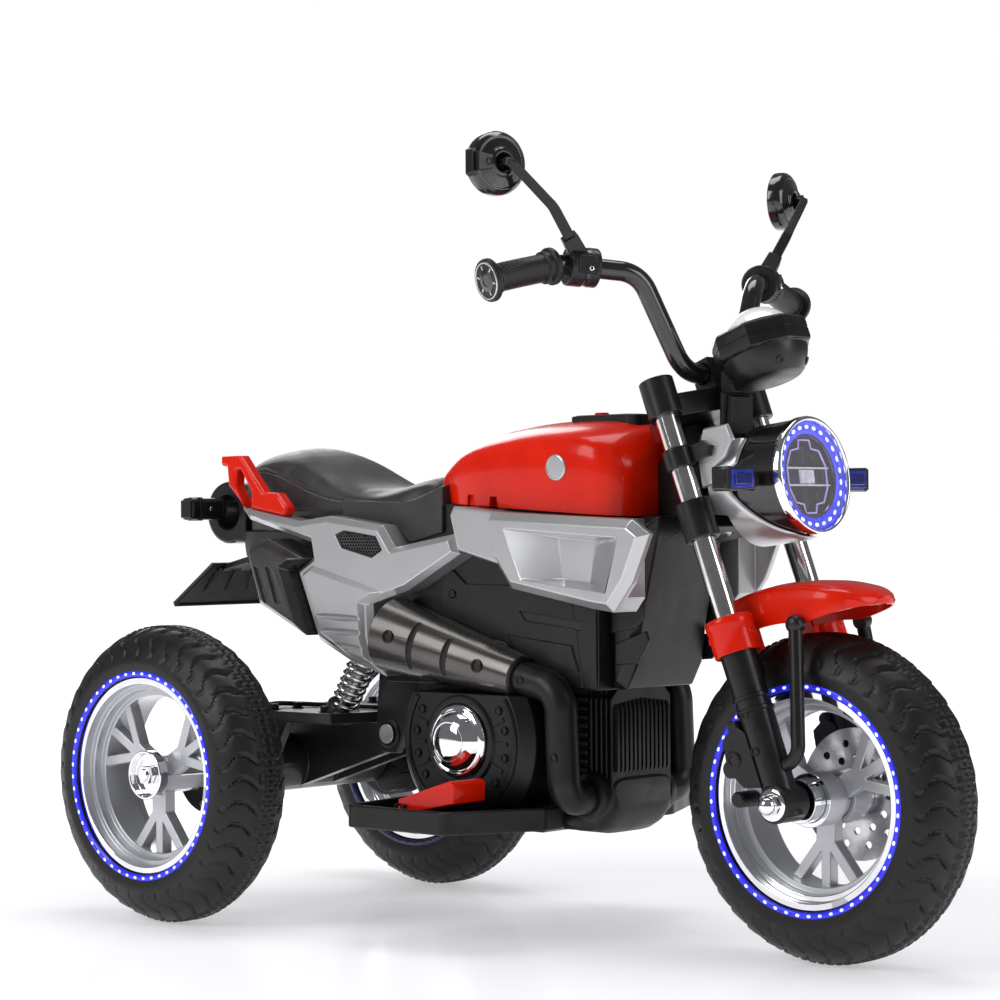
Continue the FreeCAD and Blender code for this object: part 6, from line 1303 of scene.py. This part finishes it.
def make_exhaust():
    slots = bmesh.new()
    bolts = bmesh.new()
    rear, front = (spot(fore, 0, z) for fore, z in (SHIELD_REAR, SHIELD_FRONT))
    for side in SIDES:
        for share, first, last in ((0.3, -42, 50), (0.55, -40, 44)):
            points = [shield_spot(side, share, first + (last - first) * i / 16, 0.6)[0] for i in range(17)]
            add_tube(slots, points, lambda t: 3.9 * math.sin(math.pi * (0.05 + 0.9 * t)) ** 0.35, 12)
        for share, angle in ((0.14, 8), (0.79, 6)):
            place, away = shield_spot(side, share, angle)
            add_socket(bolts, place, away, 6.6, 1.8, 0, 1)
        for fore, z in ((398, 255), (440, 183)):
            add_socket(bolts, spot(fore, side * 104.2, z), (0, side, 0), 4.6, 1.8, 0, 1)
        # collar where the pipe leaves the shield and boss where it enters the engine
        end = shield_spot(side, 1.0, 0, -SHIELD_RADII[1])[0]
        add_lathe(bolts, frame_of(end, front - rear),
                  [(20.6, -3.0), (20.6, 0.0), (19.4, 2.4), (17.2, 3.2), (16.2, 3.2)], 56)
        add_boss(bolts, side, (440, 45.5, 142),
                 [(24.0, 0.0), (24.0, 6.0), (22.0, 9.4), (18.0, 11.0), (16.2, 11.0)], 56)
    # the insides of the slots are painted near-black as shade
    dressed("exhaust_shields", "shield_grey", [SHIELD], 0.35, cut=slots, inside=HOLLOW_SHADE)
    finished(bolts, "exhaust_bolts", "chassis", "engine_black", [ENGINE, HOLLOW_SHADE], 35.0)


# Middle of the round engine covers in mm
COVER_FORE = 322
COVER_RISE = 194


def cover_spot(side, radius, angle, out):
    """Point on an engine cover, at a radius in mm and an angle in degrees about its middle."""
    x, z = polar(radius, math.radians(angle))
    return spot(COVER_FORE + x, side * out, COVER_RISE + z)


def make_engine():
    """Rings and bolts on the engine covers, bright caps, the rounded sump and the fins ahead of it."""
    bm = bmesh.new()
    caps = bmesh.new()
    for side in SIDES:
        out = (0, side, 0)
        add_lathe(bm, frame_of(spot(COVER_FORE, side * 106, COVER_RISE), out, AHEAD),
                  [(36.8, -0.4), (37.4, 2.6), (40.2, 3.4), (43.4, 2.8), (45.6, -0.4)], 72)
        for first, last in ((143, 232), (-48, 36)):
            points = [cover_spot(side, 71, first + (last - first) * i / 18, 105.6) for i in range(19)]
            add_tube(bm, points, 3.2, 10)
        for angle in (150, 172, 194, 216, -40, -14, 12, 32):
            add_socket(bm, cover_spot(side, 59, angle, 105.8), out, 4.4, 2.6, 0, 1)
        for angle in (161, 183, 205, -27, -1, 22):
            turn = math.radians(angle)
            ray = frame_of(cover_spot(side, 54, angle, 105.4), out, (math.cos(turn), 0, math.sin(turn)))
            add_prism(bm, ray, rectangle(8.0, 2.2), 0.0, 2.0, 0.1)
        add_boss(caps, side, (COVER_FORE, 106.2, COVER_RISE),
                 [(0, 0), (36.0, 0), (36.0, 4.2), (35.2, 6.0), (33.4, 7.4), (31.6, 7.8), (30.6, 7.2),
                  (29.6, 7.4), (28.6, 9.6), (26.4, 13.2), (22.8, 16.6), (19.4, 18.6), (18.4, 18.4),
                  (17.4, 19.2), (13.0, 20.6), (7.0, 21.7), (0, 22.0)], 96)
        # drain boss below the cover
        add_boss(bm, side, (262, 62, 172), [(0, 0), (12.0, 0), (12.0, 10.0), (10.4, 12.0), (6.0, 12.0),
                                            (5.4, 10.6), (0, 10.6)], 36)
    rings = []
    for fore, low, high, half in ((398.6, 112, 160, 44), (402, 107.5, 163, 47.5), (412, 105, 164.4, 49),
                                  (444, 105, 164.4, 49), (454, 111, 163.4, 48), (462, 121, 162, 45.6),
                                  (465, 131, 158, 42)):
        ring = []
        for k in range(48):
            c, s = (math.copysign(abs(v) ** 0.42, v) for v in polar(1, 2 * math.pi * k / 48))
            ring.append(spot(fore, half * c, (low + high) / 2 + (high - low) / 2 * s))
        rings.append(ring)
    add_loft(bm, rings)
    for k in range(-6, 7):
        fin = [(460, 166), (465.4, 166), (466.2, 170), (466.2, 226), (464, 235 - 0.7 * abs(k)),
               (460, 241 - 1.1 * abs(k))]
        add_prism(bm, on_side(1), fin, 6.4 * k - 1.7, 6.4 * k + 1.7)
    finished(bm, "engine_details", "chassis", "engine_black", [ENGINE, HOLLOW_SHADE], 35.0)
    finished(caps, "engine_cap_domes", "chassis", "bright_chrome", [CHROME], 40.0, ["engine_caps"])


def make_body():
    """Body shells under raised side panels with a sunk slot and seams, and the steps of the cowl."""
    slots = bmesh.new()
    panels = bmesh.new()
    steps = bmesh.new()
    for word, side in SIDE_WORDS:
        dressed("body_shell_" + word, "black_shell", [SHELL], 1.2)
        put = on_side(side)
        add_prism(slots, put, [(371, 321), (452, 311), (450, 303), (379, 311)], 72.7, 78.0)
        for start, end in (((262, 304), (352, 290)), ((352, 290), (396, 244)), ((438, 340), (453, 244))):
            add_tube(slots, [spot(fore, side * 74.7, z) for fore, z in (start, end)], 0.8, 6)
        add_prism(panels, put, [(268, 372), (300, 346), (392, 345), (469, 330), (469, 248), (330, 248),
                                (268, 290)], 72.0, 74.6)
        add_prism(steps, put, [(356, 298), (440, 289), (450, 262), (436, 250), (394, 249), (370, 272)],
                  74.0, 76.6, 0.05)
        add_prism(steps, put, [(480, 291), (518, 304), (522, 296), (506, 272), (480, 270)], 57.0, 60.4, 0.05)
        add_prism(steps, put, [(474, 352), (518, 352), (516, 316), (506, 306), (474, 300)], 57.0, 59.2, 0.04)
        add_screw(steps, spot(283, side * 74.5, 336), (0, side, 0), 4.4, 3.0, 0, 1)
    panel = finished(panels, "body_panels", "chassis", "black_shell", [SHELL], 30.0)
    # the sunk slot and the seam grooves are lined in near-black: painted shade
    carved(panel, slots, HOLLOW_SHADE)
    smooth(panel.data)
    rounded(panel, 0.5)
    finished(steps, "body_steps", "chassis", "black_shell", [SHELL, HOLLOW_SHADE], 30.0, bevel=1.0, segments=3)


def skin_tree(obj):
    """Search tree over a piece's final skin."""
    shown = obj.evaluated_get(bpy.context.evaluated_depsgraph_get())
    corners = [v.co.copy() for v in shown.data.vertices]
    return BVHTree.FromPolygons(corners, [tuple(p.vertices) for p in shown.data.polygons])


def hit(tree, start, run):
    """Where a ray meets a skin, and the skin's normal there."""
    return tree.ray_cast(start, run)[:2]


# Seat: where its cover is held and where it ends, in metres above the floor, and how far it may swell
SEAT_PIN = 0.4195
SEAT_FLOOR = 0.4183
SWELL = 5.0 * MM
SWELL_FRAMES = 20


def swollen(obj, rest):
    """Places of a cushion's corners after its cover is blown up as cloth."""
    pinned = obj.vertex_groups.new(name="base")
    pinned.add([v.index for v in obj.data.vertices if v.co.z < SEAT_PIN], 1.0, "REPLACE")
    cloth = obj.modifiers.new("swell", "CLOTH")
    cloth.settings.vertex_group_mass = "base"
    cloth.settings.use_pressure = True
    cloth.settings.uniform_pressure_force = 4.0
    cloth.settings.effector_weights.gravity = 0.0
    cloth.settings.quality = 5
    scene = bpy.context.scene
    cloth.point_cache.frame_start = 1
    cloth.point_cache.frame_end = SWELL_FRAMES
    for step in range(1, SWELL_FRAMES + 1):
        scene.frame_set(step)
    shown = obj.evaluated_get(bpy.context.evaluated_depsgraph_get())
    blown = np.zeros(len(shown.data.vertices) * 3)
    shown.data.vertices.foreach_get("co", blown)
    move = blown.reshape(-1, 3) - rest
    length = np.linalg.norm(move, axis=1)
    scale = np.where(length > SWELL, SWELL / np.maximum(length, 1e-9), 1.0)
    obj.modifiers.remove(cloth)
    obj.vertex_groups.clear()
    scene.frame_set(1)
    return rest + move * scale[:, None]


def make_seat():
    """Padded seat, swollen as cloth over its foam, with a sewn edge round its top panel."""
    bm = bmesh.new()
    bm.from_mesh(NODES["seat_pad"].data)
    bmesh.ops.remove_doubles(bm, verts=bm.verts, dist=0.02 * MM)
    middle = spot(86, 0, 418)
    for vert in bm.verts:
        off = vert.co - middle
        vert.co = middle + Vector((off.x * 0.985, off.y * 0.96, off.z * 0.93))
    mesh = bpy.data.meshes.new("seat_cushion")
    bm.to_mesh(mesh)
    bm.free()
    drop_normals(mesh)
    obj = new_piece("seat_cushion", mesh, "chassis", "seat_leather", [LEATHER], ["seat_pad"])
    mesh.remesh_voxel_size = 5 * MM
    with bpy.context.temp_override(active_object=obj, object=obj, selected_objects=[obj]):
        bpy.ops.object.voxel_remesh()
    mesh = obj.data
    rest = np.zeros(len(mesh.vertices) * 3)
    mesh.vertices.foreach_get("co", rest)
    rest = rest.reshape(-1, 3)
    rest = swollen(obj, rest)
    rest[:, 2] = np.maximum(rest[:, 2], SEAT_FLOOR)
    mesh.vertices.foreach_set("co", rest.ravel())
    mesh.update()
    mesh.shade_smooth()
    even = obj.modifiers.new("even", "SMOOTH")
    even.factor = 0.5
    even.iterations = 4
    finer = obj.modifiers.new("finer", "SUBSURF")
    finer.levels = 1
    finer.render_levels = 1
    tree = skin_tree(obj)
    make_seams(tree)
    make_skirt(tree)


# Seam along the seat's side as (fore, height) in mm
SEAM = [(-58, 454), (-40, 462), (-10, 466), (20, 461), (63, 446), (100, 436), (137, 430), (175, 427.5),
        (209, 427.5), (228, 430), (243, 434)]


def seam_track(tree, drop):
    """Places and normals on the seat, from the front of its right side round the back to the left."""
    run = []
    for i in range(105):
        fore = 242 - 2.5 * i
        run.append(hit(tree, spot(fore, -200, between(SEAM, fore) - drop), Vector((0, 1, 0))))
    for i in range(1, 30):
        angle = math.radians(-90 - 6 * i)
        away = Vector((math.cos(angle), math.sin(angle), 0))
        start = spot(-20, 0, between(SEAM, -20 + 42 * math.cos(angle)) - drop) + away * 0.2
        run.append(hit(tree, start, -away))
    for i in range(105):
        fore = -18 + 2.5 * i
        run.append(hit(tree, spot(fore, 200, between(SEAM, fore) - drop), Vector((0, -1, 0))))
    return [(place, normal) for place, normal in run if place is not None]


def make_seams(tree):
    """Piping along the seam and a row of stitches below it."""
    bm = bmesh.new()
    add_tube(bm, [place + normal * 0.4 * MM for place, normal in seam_track(tree, 0.0)], 1.5)
    stitches = seam_track(tree, 3.4)
    for (place, normal), (after, after_normal) in zip(stitches[::2], stitches[1::2]):
        start = place.lerp(after, 0.05) + normal * 0.25 * MM
        end = place.lerp(after, 1.15) + after_normal * 0.25 * MM
        run = [start - normal * 0.5 * MM, start, end, end - after_normal * 0.5 * MM]
        add_tube(bm, run, 0.8, 6, material=1)
    finished(bm, "seat_seam", "chassis", "seat_leather", [LEATHER, THREAD], 50.0)


def make_skirt(tree):
    """Skirt of the cover, drawn down over the seat's base, and the raised front edge that meets the tank."""
    bm = bmesh.new()
    for side in SIDES:
        add_prism(bm, on_side(side), [(130, 431), (130, 404), (207, 404), (225, 387.6), (232, 388.4),
                                      (271, 397.5), (271, 443), (262, 440), (234, 431), (216, 428),
                                      (180, 428.6)], 72.4, 76.0, 0.01)
        rings = []
        for i in range(40):
            fore = -52 + 290 * i / 39
            place = hit(tree, spot(fore, side * 200, 424), Vector((0, -side, 0)))[0]
            if place is None:
                continue
            half = abs(place.y) / MM
            shape = ((1.4, 424), (0.2, 421), (3.2, 414), (6.0, 405), (7.0, 400.6), (9.0, 400.6), (8.6, 414),
                     (5.0, 424))
            rings.append([spot(fore, side * (half - inset), z) for inset, z in shape])
        add_loft(bm, rings)
    rings = []
    for fore, high in ((214, 428.4), (226, 430.4), (240, 434.4), (252, 438.4), (262, 442), (269, 444.8),
                       (271.4, 443.6)):
        ring = mirrored([(75.2, 424.0), (76.2, high - 4.0), (75.0, high - 1.2), (71.0, high + 0.2),
                         (56.0, high + 1.8), (28.0, high + 3.0)])
        rings.append([spot(fore, y, z) for y, z in ring])
    add_loft(bm, rings)
    finished(bm, "seat_skirt", "chassis", "seat_leather", [LEATHER], 50.0, bevel=0.8)


def make_tail():
    """Plate ribs, rear signal caps and lenses, and their screws."""
    bm = bmesh.new()
    lens = bmesh.new()
    top = spot(-103, 0, 363)
    low = spot(-141, 0, 319)
    down = (low - top).normalized()
    facing = Vector((0.757, 0, -0.654))

    def plate(drop, y):
        return top + down * drop * MM + Vector((0, y * MM, 0))

    wide = Vector((0, 3.6 * MM, 0))
    for y in (-30, -4, 22):
        start = plate(3, y)
        end = plate(38, y * 1.22)
        ring = [start - wide, start + facing * 6 * MM, start + wide]
        tip = [end - wide * 0.1, end + facing * 0.5 * MM, end + wide * 0.1]
        add_loft(bm, [ring, tip])
    # rim round the plate
    corners = [place + Vector((0, y * MM, 0)) for place, y in ((low, -67), (top, -43), (top, 43), (low, 67))]
    add_tube(bm, eased(corners + corners[:1], 5.0), 2.0, 8)
    for y in (-34, 34):
        add_screw(bm, plate(8, y), facing, 3.2, 1.4, 0, 2)
    for side in SIDES:
        matrix = frame_of(spot(-114, side * 60, REAR_SIGNAL_RISE), (0, side, 0), AHEAD)
        add_prism(bm, matrix, rectangle(10.8, 12.8), -1.0, 1.4)
        add_prism(bm, matrix, rectangle(9.0, 10.8), 9.0, 14.6, 0.14)
        add_screw(bm, spot(-104.2, side * 46, REAR_SIGNAL_RISE), AHEAD, 2.6, 1.0, 1, 2)
        front = frame_of(spot(-104.6, side * 42, REAR_SIGNAL_RISE), AHEAD, UP)
        add_prism(bm, front, rectangle(8.6, 15.0), 0.0, 1.0, 0.06)
        back = frame_of(spot(-123.4, side * 47, REAR_SIGNAL_RISE), (-1, 0, 0), UP)
        add_prism(lens, back, rectangle(8.8, 19.0), -0.4, 1.8, 0.06, 0)
        add_prism(lens, back, rectangle(5.6, 15.0), 1.7, 2.6, 0.08, 1)
    finished(bm, "tail_details", "chassis", "black_shell", [SHELL, CHROME, HOLLOW_SHADE], 30.0, bevel=0.6)
    finished(lens, "rear_signal_lenses", "chassis", "signal_blue", [SIGNAL_EDGE, SIGNAL], 30.0, bevel=0.8)


def make_controls():
    """Slots and rim on the control panel, and the tread of the footboards."""
    bm = bmesh.new()
    deck = frame_of(spot(PANEL_FORE, 0, PANEL_RISE), UP, AHEAD)
    # the slots are near-black bars: painted shade
    for i in range(5):
        for side in SIDES:
            add_prism(bm, deck, rectangle(1.1, 6.5, (-22 + 5.0 * i, side * 20)), -0.4, 0.25, 0.0, 1)
    points = [deck @ (Vector((x, y, 0)) * MM) for x, y in rectangle(37, 27, (-1, 0))]
    add_tube(bm, eased(points[3:] + points + points[:1], 8.0)[1:-1], 0.9, 8)
    add_lathe(bm, frame_of(spot(416, 0, PANEL_RISE), UP),
              [(7.8, -0.4), (7.8, 0.9), (8.6, 1.4), (10.2, 0.9), (10.6, -0.2)], 40, 2)
    for y in (-10.3, 10.3):
        add_prism(bm, deck, rectangle(14, 0.7, (16, y)), -0.3, 0.9)
    # ribs of the footboards; on the right they end behind the pedal
    inner = 78.0
    for side, count in ((-1, 5), (1, 14)):
        for i in range(count):
            fore = 242 + 11.5 * i
            outer = 176.0 if fore < 372 else 176.0 - (fore - 372) * 1.9
            matrix = frame_of(spot(fore, side * inner, 122.0), UP, (0, side, 0))
            long = (outer - inner) / 2
            add_prism(bm, matrix, rectangle(long, 1.8, (long, 0)), -0.4, 2.0, 0.03)
    finished(bm, "control_details", "chassis", "black_shell", [SHELL, HOLLOW_SHADE, CHROME], 30.0, bevel=0.4)


def make_plates():
    """A plain round plate on each side of the tank."""
    tree = skin_tree(bpy.data.objects["tank_cover_skin"])
    bm = bmesh.new()
    for side in SIDES:
        place, normal = hit(tree, spot(433, side * 200, 459), Vector((0, -side, 0)))
        if normal.y * side < 0:
            normal = -normal
        add_lathe(bm, frame_of(place - normal * 1.2 * MM, normal),
                  [(12.5, 0), (12.5, 2.0), (11.9, 2.7), (10.9, 2.9), (10.3, 2.4), (0, 2.6)], 56)
    finished(bm, "tank_plates", "chassis", "silver_paint", [SILVER], 40.0)


def make_rear():
    """Bolts and a cable on the swing arm, rings and screws on the gear cases."""
    bm = bmesh.new()
    for fore, y in ((-18, 70), (24, 74), (24, 40), (96, 70)):
        for side in SIDES:
            add_bolt(bm, spot(fore, side * y, 211), UP, 5.0, 6.0)
    for side in SIDES:
        for out, reach in ((119.0, 46.6), (134.0, 46.4), (147.0, 44.0)):
            add_boss(bm, side, (0, out, AXLE_RISE), [(reach - 3.0, -2.2), (reach, -1.4), (reach, 1.4),
                                                     (reach - 3.0, 2.2)], 64)
        for x, z in hexagon(37, 20, (0, AXLE_RISE)):
            add_screw(bm, spot(x, side * 149.2, z), (0, side, 0), 3.4, 1.6, 1, 2)
        add_boss(bm, side, (160, 40.2, 190), [(15.0, -0.4), (15.0, 1.2), (13.6, 2.2), (11.2, 2.2),
                                              (10.6, 1.0)], 40)
    cable = ((-20, -48, 213), (4, -48, 216), (20, -20, 214), (60, -16, 214), (118, -14, 214))
    add_tube(bm, eased([spot(*place) for place in cable], 8.0), 2.6)
    finished(bm, "swing_details", "swing", "engine_black", [ENGINE, STEEL, HOLLOW_SHADE], 35.0)


make_camera()
make_studio()
make_wheels()
make_steering()
make_plain()
make_tank()
make_fender()
make_fairings()
make_grilles()
make_exhaust()
make_engine()
make_body()
make_springs()
cad_finish("body_screws", GLOSS)
make_seat()
make_tail()
make_controls()
make_plates()
make_rear()
